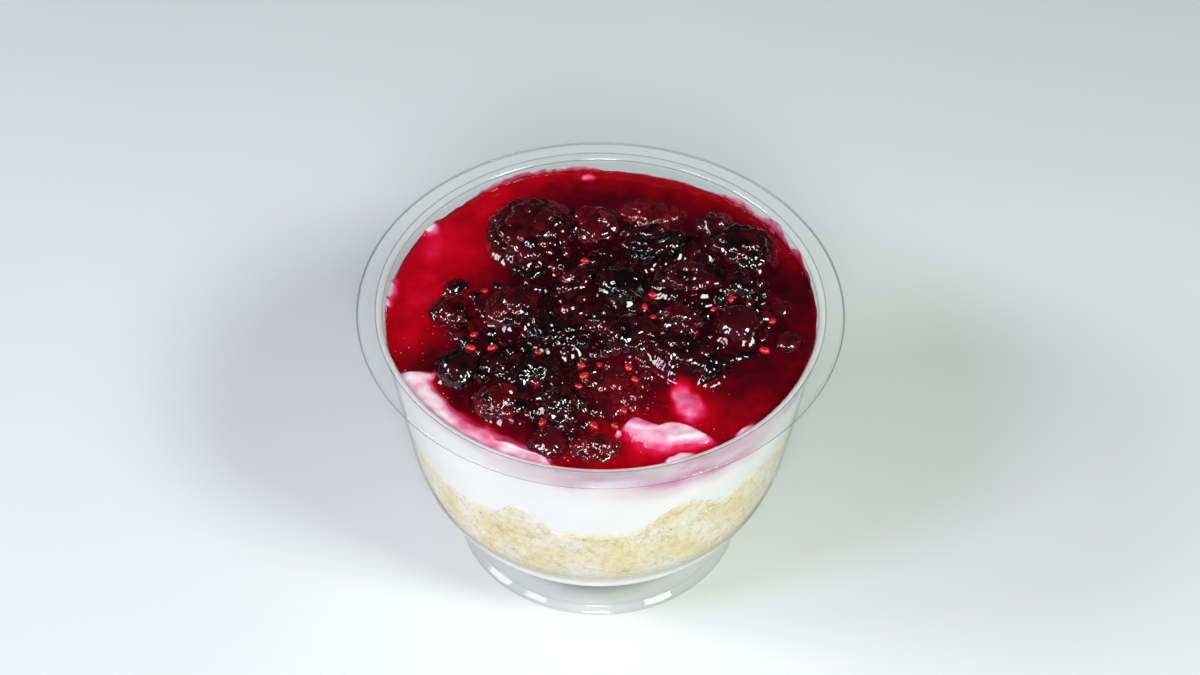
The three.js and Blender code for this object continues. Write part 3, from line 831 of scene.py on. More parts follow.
def cream_tint(v, sauce_at):
    """White, with a pink stain against the wall under the rim and a thin film of sauce on top."""
    angle = angle_of(v[:, 0], v[:, 1])
    streak = plane_points(angle / 7.0, v[:, 2] / 1.3)
    patchy = 0.85 + 0.35 * layered_noise(v, 4.0, 21) + 0.3 * noise(streak, 1.0, 24)
    stain = np.zeros(len(v))
    for at, reach, low, strength in WALL_STAINS:
        here = smoothstep(low - 1.5, low + 6.0, v[:, 2] + 1.4 * noise(v, 6.0, 22))
        stain = np.maximum(stain, strength * here * bell(turn(angle, at), reach))
    on_wall = smoothstep(0.9, 0.2, inner_radius(v[:, 2]) - np.hypot(v[:, 0], v[:, 1]))
    stain = np.clip(stain * patchy, 0, 1)[:, None]
    side = CREAM_WHITE * (1 - stain) + CREAM_PINK * stain
    above = v[:, 2] - sauce_at(v[:, 0], v[:, 1])
    top = through_sauce(CREAM_WHITE, film_on_cream(v[:, 0], v[:, 1], above))
    return side * on_wall[:, None] + top * (1 - on_wall[:, None])


# Berries


def ball_area(half):
    """Area of an ellipsoid, near enough, from its three half sizes."""
    a, b, c = half
    return 4 * math.pi * np.mean([a * b, b * c, c * a])


# How often near points are pushed apart, how far each time, and how many even gaps away still is near
RELAX_STEPS = 40
RELAX_PUSH = 0.3
RELAX_REACH = 1.15


def relax_on_ellipsoid(half, count, seed):
    """Points spread evenly over an ellipsoid by pushing near ones apart."""
    random = np.random.default_rng(seed)
    half = np.array(half)
    points = random.normal(size=(count, 3))
    points = points / np.linalg.norm(points, axis=1)[:, None] * half
    pitch = math.sqrt(ball_area(half) / count)
    for _ in range(RELAX_STEPS):
        apart = points[:, None] - points[None]
        distance = np.linalg.norm(apart, axis=2) + np.eye(count) * 1e3
        push = np.clip(pitch * RELAX_REACH - distance, 0, None) / distance
        points = points + RELAX_PUSH * np.sum(apart * push[..., None], axis=1)
        points = points / np.linalg.norm(points / half, axis=1)[:, None]
    apart = np.linalg.norm(points[:, None] - points[None], axis=2) + np.eye(count) * 1e3
    return points, np.sort(apart, axis=1)[:, :5].mean(axis=1)


# How many times closer together the points of a berry are at its top than on an even ball
TOP_CROWDING = 1.8


def fine_ball(level):
    """Points and faces of a ball whose points crowd towards its top, the side that shows."""
    vertices, faces = round_ball(level)
    z = np.clip(vertices[:, 2] / np.linalg.norm(vertices, axis=1), -1, 1)
    from_top = 2 * np.arctan2(np.sqrt(1 - z), TOP_CROWDING * np.sqrt(1 + z))
    around = np.arctan2(vertices[:, 1], vertices[:, 0])
    flat = np.sin(from_top)
    return np.stack([flat * np.cos(around), flat * np.sin(around), np.cos(from_top)], axis=1), faces


FINE_BALLS = {level: fine_ball(level) for level in (5, 6)}


def bramble(at, size, yaw, pitch, red):
    """A soft bramble: place, size, turn of its length about +Z and spacing of its drupelets.

    Red runs from 0 for the darkest to 1 for the reddest.
    """
    return {"at": at, "size": size, "yaw": yaw, "pitch": pitch, "red": red}


def round_berry(at, size, yaw, wrinkle, red):
    """A round berry, with how far its skin is wrinkled."""
    return {"at": at, "size": size, "yaw": yaw, "wrinkle": wrinkle, "red": red}


BRAMBLES = {
    "bramble_1": bramble((-14, 22.6, 56), (19, 21.4, 11.6), 8, 3.1, 0.25),
    "bramble_2": bramble((28.2, 18.8, 56.4), (14.6, 14.2, 10.4), -40, 2.9, 0.15),
    "bramble_3": bramble((11.6, 18, 57.4), (16, 7, 7.6), 28, 2.4, 0.0),
    "bramble_4": bramble((17.4, 8.4, 56.2), (17.4, 12.6, 11), 6, 2.9, 0.2),
    "bramble_5": bramble((-7.8, -6.4, 56.2), (14.4, 12.4, 10.8), -14, 2.6, 0.0),
    "bramble_6": bramble((16.6, -12, 57), (20.4, 9.6, 9.2), -30, 2.9, 0.05),
    "bramble_7": bramble((-13, -16.2, 56.2), (12.6, 9.6, 9.6), 10, 2.6, 0.0),
    "bramble_8": bramble((-7, -24.4, 56), (12.6, 10.6, 9.6), 24, 2.7, 0.2),
    "red_bramble_1": bramble((-2, 25.2, 56), (10.8, 11.6, 9.4), 0, 2.8, 0.6),
    "red_bramble_2": bramble((10.2, 28.6, 54.6), (18.4, 10.6, 7.2), -4, 2.8, 0.8),
    "red_bramble_3": bramble((-16.4, 0.6, 56.2), (15, 11.6, 10.2), 6, 2.8, 0.35),
    "red_bramble_4": bramble((-29.6, 0.4, 55.8), (9.6, 9.4, 8), 60, 2.7, 0.4),
    "red_bramble_5": bramble((-18.4, -24.4, 55.8), (13.6, 11, 9.4), -24, 2.6, 0.55),
    "red_bramble_6": bramble((-1, -35.2, 55.8), (12, 7.6, 6.6), 4, 2.3, 1.0),
}
ROUND_BERRIES = {
    "round_berry_1": round_berry((3.6, 7.4, 57), (10.4, 10.2, 8.8), 100, 1.0, 0.0),
    "round_berry_2": round_berry((26.8, -2.6, 56.2), (10.6, 10.4, 9), 50, 0.35, 0.25),
    "round_berry_3": round_berry((-26.8, -15.6, 56.2), (10, 9.8, 9), 120, 0.6, 0.05),
    "round_berry_4": round_berry((-9.6, -34.2, 56.2), (8.4, 8.2, 7), 200, 0.6, 0.45),
    "round_berry_5": round_berry((36.6, -6.6, 56), (6, 5.8, 5.2), 80, 0.3, 0.3),
}

# Berries lying lower in the heap, part of the crushed ones
SUNK_BERRIES = [
    bramble((6.6, -6.8, 57.2), (11.6, 10.4, 8), 20, 2.5, 0.1),
    bramble((15.6, -1.6, 56.8), (11.4, 8.6, 7.6), -10, 2.6, 0.45),
    bramble((-0.6, -1.4, 56.4), (9.2, 8.8, 7.4), 8, 2.3, 0.1),
    bramble((5.8, -21, 54.8), (12, 9, 6), 0, 2.4, 0.8),
    round_berry((35.2, 2.8, 55.2), (5.8, 5.4, 5), 0, 0.2, 0.2),
    bramble((-28.4, 7.4, 55.4), (7.4, 6.6, 6), 0, 2.3, 0.3),
    bramble((-20.6, -13.6, 56), (8.8, 7.6, 7.4), 30, 2.4, 0.0),
    bramble((27.4, 8.2, 56.4), (10, 8, 7.4), -30, 2.5, 0.15),
    bramble((-5.4, 9.6, 55.8), (9, 7.4, 6.6), 40, 2.5, 0.3),
    bramble((22.6, 26.4, 55.4), (9.4, 7.2, 6.4), 20, 2.5, 0.35),
]

DARK_SKIN = np.array([0.003, 0.0002, 0.0010])
RED_SKIN = np.array([0.15, 0.0008, 0.005])
# Colour put into the valleys between drupelets: painted shade.
VALLEY_PAINTED_SHADE = np.array([0.012, 0.0, 0.001])


def fruit_colour(red):
    red = np.clip(red, 0, 1)[:, None]
    return DARK_SKIN * (1 - red) + RED_SKIN * red


def lie_down(points, at, yaw):
    c, s = math.cos(math.radians(yaw)), math.sin(math.radians(yaw))
    x = points[:, 0] * c - points[:, 1] * s + at[0]
    y = points[:, 0] * s + points[:, 1] * c + at[1]
    return np.stack([x, y, points[:, 2] + at[2]], axis=1)


# Radius of a drupelet as a share of the gap to its neighbours, how deep the lowest of them stands, how
# far the core lies under the hull and how sharp the valleys between drupelets are
DRUPELET_RADIUS = (0.50, 0.66)
DEEPEST_DRUPELET = 1.1
CORE_DEPTH = 1.5
VALLEY_SHARPNESS = 5.0


def bramble_skin(size, pitch, red, seed, level):
    """Skin of a soft bramble: a smooth outer hull of drupelets that vary in size and standing, with
    painted shade in the valleys between them.
    """
    random = np.random.default_rng(seed)
    half = np.array(size) / 2
    count = int(ball_area(half) / (pitch**2 * 0.8))
    tops, gaps = relax_on_ellipsoid(half, count, seed)
    radius = gaps * random.uniform(*DRUPELET_RADIUS, count)
    out = tops / np.linalg.norm(tops, axis=1)[:, None]
    sunk = DEEPEST_DRUPELET * random.uniform(0.0, 1.0, count) ** 2
    centres = tops - out * (radius + sunk)[:, None]
    unit, faces = FINE_BALLS[level]
    shape = unit * half
    ray = shape / np.linalg.norm(shape, axis=1)[:, None]
    floor = 1 / np.linalg.norm(ray / (half - CORE_DEPTH), axis=1)
    along = ray @ centres.T
    left = radius**2 - np.sum(centres**2, axis=1) + along**2
    hit = np.where((left > 0) & (along > 0), along + np.sqrt(np.clip(left, 0, None)), -9.0)
    sharp = VALLEY_SHARPNESS
    highest = np.maximum(hit.max(axis=1), floor)
    others = np.exp(sharp * (hit - highest[:, None])).sum(axis=1)
    reach = highest + np.log(others + np.exp(sharp * (floor - highest))) / sharp
    reach = np.minimum(reach, 1 / np.linalg.norm(ray / half, axis=1) + 0.25)
    points = ray * reach[:, None]
    reach = reach + 0.6 * noise(points, 5.0, seed + 5) + 0.25 * noise(points, 2.0, seed)
    creases = 1 - np.abs(noise(points, 1.3, seed + 1))
    reach = reach + 0.14 * (creases**3 - 0.5) + 0.06 * noise(points, 0.6, seed + 3)
    points = ray * reach[:, None]
    owner = hit.argmax(axis=1)
    ripeness = red + 0.28 * random.normal(size=count) * (0.3 + red)
    two = np.sort(hit, axis=1)[:, -2:]
    # Darker where two drupelets meet: painted shade in the valleys.
    valley_shade = smoothstep(0.7, 0.0, two[:, 1] - two[:, 0])[:, None]
    tint = fruit_colour(ripeness[owner] + 0.15 * noise(points, 1.6, seed + 2))
    tint = tint * (1 - 0.5 * valley_shade) + VALLEY_PAINTED_SHADE * (0.5 * valley_shade)
    return points, faces, tint


# The crown of a round berry: its direction, the depth and width of its dent, and the rise, place and
# width of the ring round it. The widths and the place are angles from the crown in degrees.
CROWN = np.array([0.45, 0, 0.9])
CROWN_DENT, DENT_WIDTH = 0.09, 15
CROWN_RING, RING_AT, RING_WIDTH = 0.02, 24, 6
# Share of its size that a round berry has kept
ROUND_SHRUNK = 0.985


def round_skin(size, wrinkle, red, seed, level):
    """Skin of a soft round berry, dented at its crown and slightly shrunken."""
    half = np.array(size) / 2
    unit, faces = FINE_BALLS[level]
    shape = unit * half
    ray = shape / np.linalg.norm(shape, axis=1)[:, None]
    reach = np.linalg.norm(shape, axis=1) * ROUND_SHRUNK
    off = np.degrees(np.arccos(np.clip(ray @ (CROWN / np.linalg.norm(CROWN)), -1, 1)))
    dent = CROWN_DENT * bell(off, DENT_WIDTH)
    ring = CROWN_RING * bell(off - RING_AT, RING_WIDTH)
    reach = reach * (1 - dent + ring)
    creases = 1 - np.abs(noise(shape, 1.7, seed))
    reach = reach + wrinkle * (0.32 * (creases**3 - 0.5) + 0.12 * noise(shape, 0.7, seed + 1))
    reach = reach + 0.15 * noise(shape, 3.0, seed + 2)
    points = ray * reach[:, None]
    tint = fruit_colour(red + 0.2 * noise(points, 1.8, seed + 3))
    return points, faces, tint


# Length over which a berry gets the finer ball
FINE_LENGTH = 9.5


def berry_skin(b, seed):
    level = 6 if max(b["size"]) > FINE_LENGTH else 5
    if "wrinkle" in b:
        return round_skin(b["size"], b["wrinkle"], b["red"], seed, level)
    return bramble_skin(b["size"], b["pitch"], b["red"], seed, level)


def join_parts(parts):
    """Points, faces and tints of several skins as one."""
    points, faces, tints, first = [], [], [], 0
    for part_points, part_faces, part_tint in parts:
        points.append(part_points)
        tints.append(part_tint)
        faces.extend([tuple(i + first for i in f) for f in part_faces])
        first += len(part_points)
    return np.concatenate(points), faces, np.concatenate(tints)


def make_berries():
    """All whole berries, each in place of its solid. Returns their joined vertices and faces."""
    dark = fruit_material("dark_berry_skin")
    red_look = fruit_material("red_berry_skin")
    round_look = wet_material("round_berry_skin", 0.4, 0.04, 1.68, 900, 0.6)
    lying = []
    for seed, (name, b) in enumerate({**BRAMBLES, **ROUND_BERRIES}.items(), start=31):
        points, faces, tint = berry_skin(b, seed)
        points = lie_down(points, b["at"], b["yaw"])
        look, slot_name = dark, "dark_berry"
        if name.startswith("red"):
            look, slot_name = red_look, "red_berry"
        if name.startswith("round"):
            look, slot_name = round_look, "round_berry"
        piece = new_object(f"soft_{name}", points, faces, look, tint)
        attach(piece, "root")
        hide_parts(name)
        lying.append((points, faces, tint))
    sunk = []
    for seed, b in enumerate(SUNK_BERRIES, start=91):
        points, faces, tint = berry_skin(b, seed)
        sunk.append((lie_down(points, b["at"], b["yaw"]), faces, tint))
    points, faces, tint = join_parts(sunk)
    piece = new_object("sunk_berries", points, faces, dark, tint)
    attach(piece, "root")
    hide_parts("crushed_berries")
    return join_parts([*lying, *sunk])[:2]


# Heights over the filling, on a square grid

GRID_STEP = 0.2
GRID_HALF = 43.0
AXIS = np.arange(-GRID_HALF, GRID_HALF + GRID_STEP / 2, GRID_STEP)
GX, GY = np.meshgrid(AXIS, AXIS, indexing="ij")
GR = np.hypot(GX, GY)
BARE = 40.0
ABOVE_ALL = 80.0


def grid_sampler(values):
    """Function that reads a grid of heights at any places, blending the four nearest."""

    def at(x, y):
        u = np.clip((np.asarray(x) + GRID_HALF) / GRID_STEP, 0, len(AXIS) - 1.001)
        v = np.clip((np.asarray(y) + GRID_HALF) / GRID_STEP, 0, len(AXIS) - 1.001)
        i, j = u.astype(int), v.astype(int)
        fu, fv = u - i, v - j
        low = values[i, j] * (1 - fu) + values[i + 1, j] * fu
        high = values[i, j + 1] * (1 - fu) + values[i + 1, j + 1] * fu
        return low * (1 - fv) + high * fv

    return at


def heights_of(points, faces):
    """Topmost height of a mesh over each place of the grid."""
    tree = BVHTree.FromPolygons(points.tolist(), faces)
    heights = np.full(GX.shape, BARE)
    down = Vector((0, 0, -1))
    near = np.zeros(GX.shape, dtype=bool)
    for b in [*BRAMBLES.values(), *ROUND_BERRIES.values(), *SUNK_BERRIES]:
        near |= np.hypot(GX - b["at"][0], GY - b["at"][1]) < max(b["size"][:2]) / 2 + 0.5
    for i, j in zip(*np.nonzero(near)):
        hit = tree.ray_cast(Vector((GX[i, j], GY[i, j], ABOVE_ALL)), down)
        if hit[0] is not None:
            heights[i, j] = hit[0].z
    return heights


def blur(values, width):
    """Values of the grid blurred with a bell of the given width in millimetres."""
    share = bell(AXIS[:, None] - AXIS, width * math.sqrt(2))
    share /= share.sum(axis=1)[:, None]
    return share @ values @ share.T


# Outline of the crushed berries round their middle: angle and reach
CRUSHED_REACH = [
    (3, 38.5), (30, 37.5), (60, 35.5), (88, 36), (112, 38),
    (133, 34), (152, 29), (175, 37), (200, 37), (225, 36.5),
    (256, 38), (282, 29), (302, 22), (328, 26), (346, 36),
]
# Lumps that stand above the rest: place, rise and width
LUMPS = [
    (6.6, -6.6, 3.0, 5.0), (15.4, -1.4, 2.4, 5.0), (-0.6, 0.0, 2.2, 3.4),
    (4.0, -20.4, 1.0, 6.0), (27.0, 7.4, 1.4, 5.0), (-22.0, -17.0, 1.8, 4.0),
]


def crushed_reach(angle):
    weights = [bell(turn(angle, at), 13) for at, _ in CRUSHED_REACH]
    mean = sum(w * reach for w, (_, reach) in zip(weights, CRUSHED_REACH)) / sum(weights)
    return mean + 0.7 * np.sin(np.radians(angle * 9)) + 0.5 * np.cos(np.radians(angle * 14))


# How far the pulp between berries stays under the blurred height of the heap
HEAP_FILL = 0.9
# Spacing, radius and stretch of the loose drupelets on it
LOOSE_PITCH = 2.0
LOOSE_RADIUS = (0.8, 1.5)
LOOSE_STRETCH = (1.0, 1.6)


def bed_heights(whole):
    """Smooth bed of the crushed berries, and how far inside their outline each place is."""
    dx, dy = GX - CRUSHED_CENTRE[0], GY - CRUSHED_CENTRE[1]
    inside = crushed_reach(angle_of(dx, dy)) - np.hypot(dx, dy)
    bed = SAUCE_LEVEL - 1.9 + 1.7 * smoothstep(0.5, 7.0, inside)
    for x, y, rise, width in LUMPS:
        bed = bed + rise * bell(np.hypot(GX - x, GY - y), width)
    mound = blur(np.maximum(whole, SAUCE_LEVEL - 2), 1.7) - HEAP_FILL
    bed = smooth_max(bed, mound, 0.5) + 0.5 * noise(plane_points(GX, GY), 6.0, 71)
    bed = smooth_min(bed, SAUCE_LEVEL - 1.6 + 1.2 * inside)
    return np.where(inside > -1, bed, np.minimum(bed, SAUCE_LEVEL - 1)), inside


def crushed_heights(bed, inside):
    """Height of the crushed berries, loose drupelets over the bed, and which drupelet is on top."""
    random = np.random.default_rng(7)
    heights = np.where(inside > 0, bed, BARE)
    owner = np.full(GX.shape, -1)
    pitch = LOOSE_PITCH
    centres = [
        (i * pitch + (j % 2) * pitch / 2, j * pitch * 0.87)
        for i in range(-22, 23)
        for j in range(-26, 27)
    ]
    for k, (x, y) in enumerate(centres):
        x, y = x + random.uniform(-0.8, 0.8), y + random.uniform(-0.8, 0.8)
        radius, stretch = random.uniform(*LOOSE_RADIUS), random.uniform(*LOOSE_STRETCH)
        lie = random.uniform(0, math.pi)
        middle = random.uniform(-0.9, 0.8) - radius * 0.35
        i, j = int(round((x + GRID_HALF) / GRID_STEP)), int(round((y + GRID_HALF) / GRID_STEP))
        span = int(radius * stretch / GRID_STEP) + 2
        if not (span < i < len(AXIS) - span and span < j < len(AXIS) - span) or inside[i, j] < 0:
            continue
        middle -= 2.0 * smoothstep(6.5, 1.0, inside[i, j])
        window = (slice(i - span, i + span + 1), slice(j - span, j + span + 1))
        dx, dy = GX[window] - x, GY[window] - y
        along, across = dx * math.cos(lie) + dy * math.sin(lie), dy * math.cos(lie) - dx * math.sin(lie)
        rest = radius**2 - (along / stretch) ** 2 - across**2
        dome = np.where(rest > 0, bed[i, j] + middle + np.sqrt(np.clip(rest, 0, None)), BARE)
        owner[window] = np.where(dome > heights[window], k, owner[window])
        heights[window] = np.maximum(heights[window], dome)
    points = plane_points(GX, GY)
    creases = 1 - np.abs(noise(points, 1.5, 76))
    heights = heights + 0.25 * (creases**3 - 0.5) + 0.1 * noise(points, 0.8, 77)
    heights = np.where(inside > 0, blur(heights, 0.15), BARE)
    return heights, owner, len(centres)


def sheet_faces(keep):
    """Faces of the grid's cells whose four corners are kept, and the kept corners' numbers."""
    number = np.cumsum(keep.ravel()).reshape(keep.shape) - 1
    cells = keep[:-1, :-1] & keep[1:, :-1] & keep[1:, 1:] & keep[:-1, 1:]
    corners = [number[:-1, :-1], number[1:, :-1], number[1:, 1:], number[:-1, 1:]]
    return np.stack([c[cells] for c in corners], axis=1).tolist()


# Mean and spread of how ripe and red the loose drupelets are
LOOSE_RIPENESS = (0.10, 0.22)
# Where the pulp is thin and red: middle and reach
RED_PULP = (6.5, -21.5, 9.0)
# Where pulp darkens the sauce beside the heap: middle and reach
DARK_PULP = [
    (-24.5, -22.5, 6.0), (-32.0, -12.0, 6.0), (-25.0, -3.0, 9.0), (-14.0, -30.0, 5.5),
    (-4.0, -31.0, 5.0), (24.0, 23.0, 9.0), (33.0, 10.0, 8.0), (33.0, -4.0, 7.0),
]


def in_red_pulp(x, y):
    cx, cy, reach = RED_PULP
    return bell(np.hypot(x - cx, y - cy), reach)


def make_crushed(heights, owner, count, hidden_at):
    """The crushed berries as one wet, lumpy skin where no whole berry or deep sauce covers it."""
    random = np.random.default_rng(8)
    ripeness = np.clip(random.normal(*LOOSE_RIPENESS, count + 1), 0, 1)
    points = plane_points(GX, GY, 0.0)
    fine = heights + 0.05 * noise(points, 0.7, 73)
    keep = (heights > SAUCE_LEVEL - 1.6) & (hidden_at < heights + 0.6)
    vertices = np.stack([GX[keep], GY[keep], fine[keep]], axis=1)
    front = 0.7 * in_red_pulp(vertices[:, 0], vertices[:, 1])
    tint = fruit_colour(ripeness[owner[keep]] + front + 0.12 * noise(vertices, 1.4, 74))
    look = fruit_material("crushed_berry_skin")
    crushed = new_object("crushed_heap", vertices, sheet_faces(keep), look, tint)
    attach(crushed, "root")
    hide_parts("crushed_berries")


# Sauce

CLIMB = 0.5
CLIMB_REACH = 1.1
GLAZE_OVER_BED = -0.35
# Where the sauce's edge climbs the wall: angle, rise and reach along the wall
WALL_CLIMB = [(113, 0.75, 13), (48, 0.2, 16), (2, 0.6, 24)]


def sauce_heights(solid, bed):
    """Level of the sauce, which fills the heap's gaps and climbs wherever something stands out."""
    glaze = bed + GLAZE_OVER_BED + 0.4 * noise(plane_points(GX, GY), 3.0, 85)
    level = smooth_max(np.full(GX.shape, SAUCE_LEVEL - 0.05), glaze, 0.3)
    top = np.minimum(solid, level + CLIMB)
    span = int(2 * CLIMB_REACH / GRID_STEP)
    surface = level.copy()
    for di in range(-span, span + 1):
        for dj in range(-span, span + 1):
            distance = math.hypot(di, dj) * GRID_STEP
            if distance > 2 * CLIMB_REACH:
                continue
            fall = CLIMB * (1 - math.exp(-distance / (0.45 * CLIMB_REACH)))
            moved = np.roll(np.roll(top, di, axis=0), dj, axis=1)
            surface = np.maximum(surface, moved - fall)
    wall = inner_radius(SAUCE_LEVEL)
    angle = angle_of(GX, GY)
    climb = 0.15 * (1 - near_side(angle))
    for at, rise, reach in WALL_CLIMB:
        climb = climb + rise * bell(turn(angle, at), reach)
    surface = surface + climb * np.exp(-np.clip(wall - GR, 0, None) / 0.7)
    place = plane_points(GX, GY)
    ripple = 0.04 * noise(place, 4.0, 81) + 0.02 * noise(place, 1.7, 82)
    over_bed = smoothstep(-0.3, 0.3, glaze - SAUCE_LEVEL)
    broken = np.maximum(over_bed, smoothstep(0.02, 0.25, surface - level))
    ripple = ripple + broken * (0.20 * noise(place, 1.3, 90) + 0.10 * noise(place, 0.7, 91))
    return blur(surface, 0.2) + ripple


SAUCE_DEEP = np.array([0.016, 0.0, 0.002])
PULP_RED = np.array([0.16, 0.0, 0.008])


def sauce_tint(x, y, height, fruit_at):
    """Colour of the light that comes back from the cream or the fruit below the sauce."""
    place = plane_points(x, y)
    over = height - cream_top(x, y)
    mottle = 1 + 0.3 * layered_noise(place, 3.4, 83) + 0.1 * noise(place, 1.2, 94)
    depth = np.clip(over, 0, None) * mottle
    light = through_sauce(CREAM_WHITE, depth + film_on_cream(x, y, np.clip(-over, 0, None)))
    in_sauce = smoothstep(0.3, 1.6, over)
    fruit = smoothstep(52.0, 56.5, fruit_at(x, y) + 0.5 * noise(place, 2.0, 84)) * in_sauce
    for px, py, reach in DARK_PULP:
        pulp = bell(np.hypot(x - px, y - py), reach) * in_sauce
        fruit = np.maximum(fruit, pulp * (0.85 + 0.3 * noise(place, 1.8, 92)))
    shade = (0.93 * np.clip(fruit, 0, 1))[..., None]
    red = in_red_pulp(x, y) * (0.8 + 0.4 * noise(place, 1.5, 86))
    deep = SAUCE_DEEP + (PULP_RED - SAUCE_DEEP) * np.clip(red, 0, 1)[..., None]
    return light * (1 - shade) + deep * shade


def lowest_near(values, reach):
    """The lowest value within a reach of each place of the grid."""
    span = int(reach / GRID_STEP)
    lowest = values
    for axis in (0, 1):
        around = [np.roll(lowest, d, axis=axis) for d in range(-span, span + 1)]
        lowest = np.min(around, axis=0)
    return lowest


SAUCE_SEGMENTS = 600
SAUCE_RING_STEP = 0.35
# Sauce smeared up the inside of the far wall: angle, height over the level and reach along the wall
WALL_FILM = [
    (117, 1.5, 12), (99, 1.3, 8), (148, 0.7, 9), (50, 1.6, 8),
    (35, 2.7, 8), (20, 1.8, 7), (3, 1.2, 14), (-24, 0.9, 12),
]
FILM_ROWS = 8
# Rows of the sauce's edge that lies against the wall, down to the cream
EDGE_ROWS = 6
# How far from the wall the rows run that carry the sauce's narrow rise there
MENISCUS_ROWS = (0.04, 0.1, 0.18, 0.3)


def wall_film(angle):
    """Height of the smeared sauce over the level at the wall, with a ragged top."""
    height = sum(rise * bell(turn(angle, at), reach) for at, rise, reach in WALL_FILM)
    a = np.radians(angle)
    place = plane_points(np.cos(a) * 42, np.sin(a) * 42)
    ragged = 1 + 0.35 * noise(place, 3.2, 87) + 0.12 * noise(place, 1.1, 88)
    return 0.03 + height * np.clip(ragged, 0.05, 2)


def make_sauce(sauce_at, solid_at, fruit_at):
    """The sauce: a level pool from wall to heap, smeared up the wall at the far side."""
    segments = SAUCE_SEGMENTS
    angle = np.arange(segments) * 360.0 / segments
    a = np.radians(angle)
    ca, sa = np.cos(a), np.sin(a)
    wall = inner_radius(SAUCE_LEVEL) + INTO_WALL * 0.8 * smoothstep(-0.5, 0.5, sa)
    level = sauce_at(wall * ca, wall * sa)
    into_wall = wall - inner_radius(SAUCE_LEVEL)
    rows, films = [], []
    for t in np.linspace(1, 0, FILM_ROWS):
        z = level + wall_film(angle) * t
        rows.append((inner_radius(z) - 0.06 + into_wall * (1 - t), z))
        films.append(np.full(segments, t))
    for r in [*[wall - gap for gap in MENISCUS_ROWS], *np.arange(42.0, 0.4, -SAUCE_RING_STEP)]:
        rows.append((r, sauce_at(r * ca, r * sa)))
        films.append(np.zeros(segments))
    top_count = len(rows) * segments
    low = np.minimum(level, cream_top(42.0 * ca, 42.0 * sa)) - 0.4
    for t in np.linspace(0, 1, EDGE_ROWS):
        z = level + (low - level) * t
        rows.append((inner_radius(z) + into_wall, z))
        films.append(np.zeros(segments))
    vertices = np.concatenate(rings_of(rows, a))
    film = np.concatenate(films)
    hidden = solid_at(vertices[:, 0], vertices[:, 1]) > vertices[:, 2] + 0.7
    faces = [f for f in ring_faces(len(rows) - EDGE_ROWS, segments) if not all(hidden[i] for i in f)]
    faces = np.array(faces + ring_faces(EDGE_ROWS, segments, top_count))
    tint = sauce_tint(vertices[:, 0], vertices[:, 1], vertices[:, 2], fruit_at)
    thick = 0.6 + 0.7 * np.tile(bell(turn(angle, -4), 24), len(rows))
    thin = np.clip(thick - 0.45 * film + 0.3 * noise(vertices, 1.1, 89), 0.02, 2)
    smear = through_sauce(CREAM_WHITE * 0.85, thin)
    on_film = smoothstep(0.0, 0.35, film)[:, None]
    tint = tint * (1 - on_film) + smear * on_film
    edge = vertices[top_count:]
    tint[top_count:] = through_sauce(CREAM_WHITE, 1.3 + 0.4 * noise(edge, 3.0, 95))
    used = np.unique(faces)
    renumber = np.zeros(len(vertices), dtype=int)
    renumber[used] = np.arange(len(used))
    look = wet_material("berry_sauce", 0.15, 0.03, 1.45, 350, 0.1)
    sauce = new_object("sauce_pool", vertices[used], renumber[faces].tolist(), look, tint[used])
    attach(sauce, "root")
    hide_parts("berry_sauce")


# Seeds

# Half length, half width and half height of a seed, how much they vary, how pointed it is, and the
# places of the seeds
SEED_HALF = (1.0, 0.68, 0.6)
SEED_VARIES = (0.85, 1.15)
SEED_POINT = 0.18
SEED_PLACES = [
    (-3.4, 14.6), (-22.8, 6.4), (-24.4, -5.6), (-20.6, -9.8), (-25.2, -9.4), (8.6, 1.6),
    (10.2, -2.2), (25.6, 4.4), (22.2, 1.6), (33.6, -1.2), (10.0, 5.2), (31.6, -8.6),
    (-12.0, -10.8), (-3.8, -13.6), (-0.2, -13.4), (5.4, -13.8), (-2.8, -17.2), (6.6, -17.6),
    (-4.2, -21.0), (4.6, -25.6), (-10.6, -29.4), (2.8, -29.0), (-1.2, -29.2),
]


def seed_material():
    look = Look("berry_seed")
    mottle = look.noise(1500, 2)
    colour = look.ramp(mottle, [(0.35, (0.42, 0.003, 0.004)), (0.7, (0.68, 0.010, 0.008))])
    values = {"Roughness": 0.3, "Coat Weight": 0.6, "Coat Roughness": 0.03}
    return look.finish(colour, look.bump(mottle, 0.0001, 0.6), values)


def make_seeds(top_at):
    """Loose seeds, each half sunk in what it lies on."""
    random = np.random.default_rng(12)
    unit, ball_faces = round_ball(3)
    points, faces = [], []
    for x, y in SEED_PLACES:
        point = unit * (np.array(SEED_HALF) * random.uniform(*SEED_VARIES))
        point = point * (1 - SEED_POINT * point[:, :1])
        seed = lie_down(point, (x, y, float(top_at(x, y)) + 0.05), random.uniform(0, 180))
        faces.extend([tuple(i + len(unit) * len(points) for i in f) for f in ball_faces])
        points.append(seed)
    seeds = new_object("seeds", np.concatenate(points), faces, seed_material())
    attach(seeds, "root")
    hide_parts("crushed_berries")


# Floor, lights and camera

FLOOR_DROP = 0.05
FLOOR_REACH = 3000.0


def make_floor():
    count = 24
    side = np.linspace(-FLOOR_REACH, FLOOR_REACH, count)
    x, y = np.meshgrid(side, side, indexing="ij")
    vertices = np.stack([x.ravel(), y.ravel(), np.full(x.size, -FLOOR_DROP)], axis=1)
    faces = [
        (i * count + j, (i + 1) * count + j, (i + 1) * count + j + 1, i * count + j + 1)
        for i in range(count - 1)
        for j in range(count - 1)
    ]
    new_object("floor", vertices, faces, floor_material())


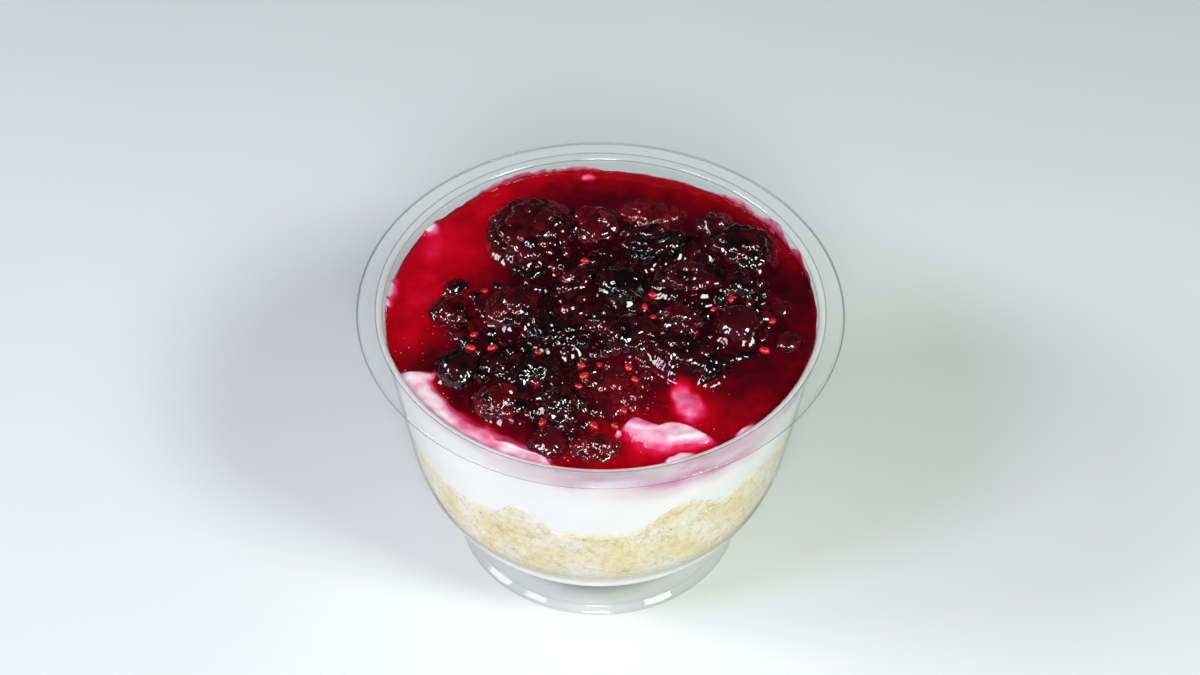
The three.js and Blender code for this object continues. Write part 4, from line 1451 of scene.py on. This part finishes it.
# Round lights that face the cup: place, size, power and colour
LIGHTS = {
    "left_light": ((-0.45, -0.35, 0.62), 0.20, 2.0, (0.80, 0.68, 1.0)),
    "right_light": ((0.45, -0.35, 0.62), 0.24, 3.7, (0.85, 1.0, 0.89)),
    "far_left_light": ((-0.65, -0.1, 0.5), 0.24, 2.6, (0.87, 1.0, 0.93)),
    "front_light": ((0.0, -0.7, 0.6), 0.27, 4.4, (1.0, 0.95, 0.97)),
}
LIT_PLACE = Vector((0, 0, 0.03))
ROOM_COLOUR = (0.70, 0.93, 1.0, 1)
ROOM_STRENGTH = 0.034


def add_lights():
    for name, (place, size, power, colour) in LIGHTS.items():
        data = bpy.data.lights.new(name, "AREA")
        data.shape = "DISK"
        data.size = size
        data.energy = power
        data.color = colour
        light = bpy.data.objects.new(name, data)
        light.location = place
        light.rotation_euler = (LIT_PLACE - Vector(place)).to_track_quat("-Z", "Y").to_euler()
        bpy.context.scene.collection.objects.link(light)
    world = bpy.data.worlds.new("studio")
    world.use_nodes = True
    set_inputs(world.node_tree.nodes["Background"], {"Color": ROOM_COLOUR, "Strength": ROOM_STRENGTH})
    bpy.context.scene.world = world
    bpy.context.scene.view_settings.view_transform = "Standard"


PHOTO_WIDTH = 1200
FOCAL_PIXELS = 3086
CAMERA_TILT = math.radians(44.97)
CAMERA_DISTANCE = 0.6
CAMERA_ROLL = math.radians(0.69)
RIM_CENTRE_SHIFT = (-0.0006, -0.0276)


def add_camera():
    """Camera on the line through the middle of the rim, 45 degrees above the horizon."""
    aim = Vector((0, 0, CUP_HEIGHT * MM))
    look = Vector((0, math.cos(CAMERA_TILT), -math.sin(CAMERA_TILT)))
    up = Vector((0, math.sin(CAMERA_TILT), math.cos(CAMERA_TILT)))
    side = Vector((1, 0, 0))
    rolled_side = side * math.cos(CAMERA_ROLL) + up * math.sin(CAMERA_ROLL)
    rolled_up = up * math.cos(CAMERA_ROLL) - side * math.sin(CAMERA_ROLL)
    data = bpy.data.cameras.new("camera")
    data.sensor_width = 36
    data.lens = FOCAL_PIXELS / PHOTO_WIDTH * data.sensor_width
    data.shift_x, data.shift_y = RIM_CENTRE_SHIFT
    camera = bpy.data.objects.new("camera", data)
    turned = Matrix((rolled_side, rolled_up, -look)).transposed().to_4x4()
    camera.matrix_world = Matrix.Translation(aim - look * CAMERA_DISTANCE) @ turned
    bpy.context.scene.collection.objects.link(camera)
    bpy.context.scene.camera = camera


def main():
    make_cup()
    make_crumbs()
    whole = heights_of(*make_berries())
    bed, inside = bed_heights(whole)
    crushed, owner, count = crushed_heights(bed, inside)
    cream = np.where(GR < 42.6, cream_top(GX, GY), BARE)
    fruit = np.maximum(whole, crushed)
    solid = np.maximum(fruit, cream)
    sauce = sauce_heights(solid, bed)
    sauce_at = grid_sampler(sauce)
    make_cream(sauce_at)
    make_crushed(crushed, owner, count, np.maximum(lowest_near(whole, 1.6), lowest_near(sauce, 0.5)))
    make_sauce(sauce_at, grid_sampler(lowest_near(solid, 1.6)), grid_sampler(blur(fruit, 12)))
    make_seeds(grid_sampler(np.maximum(fruit, sauce)))
    make_floor()
    add_lights()
    add_camera()


main()


def corners(box):
    return [[float(v) for v in corner] for corner in box]
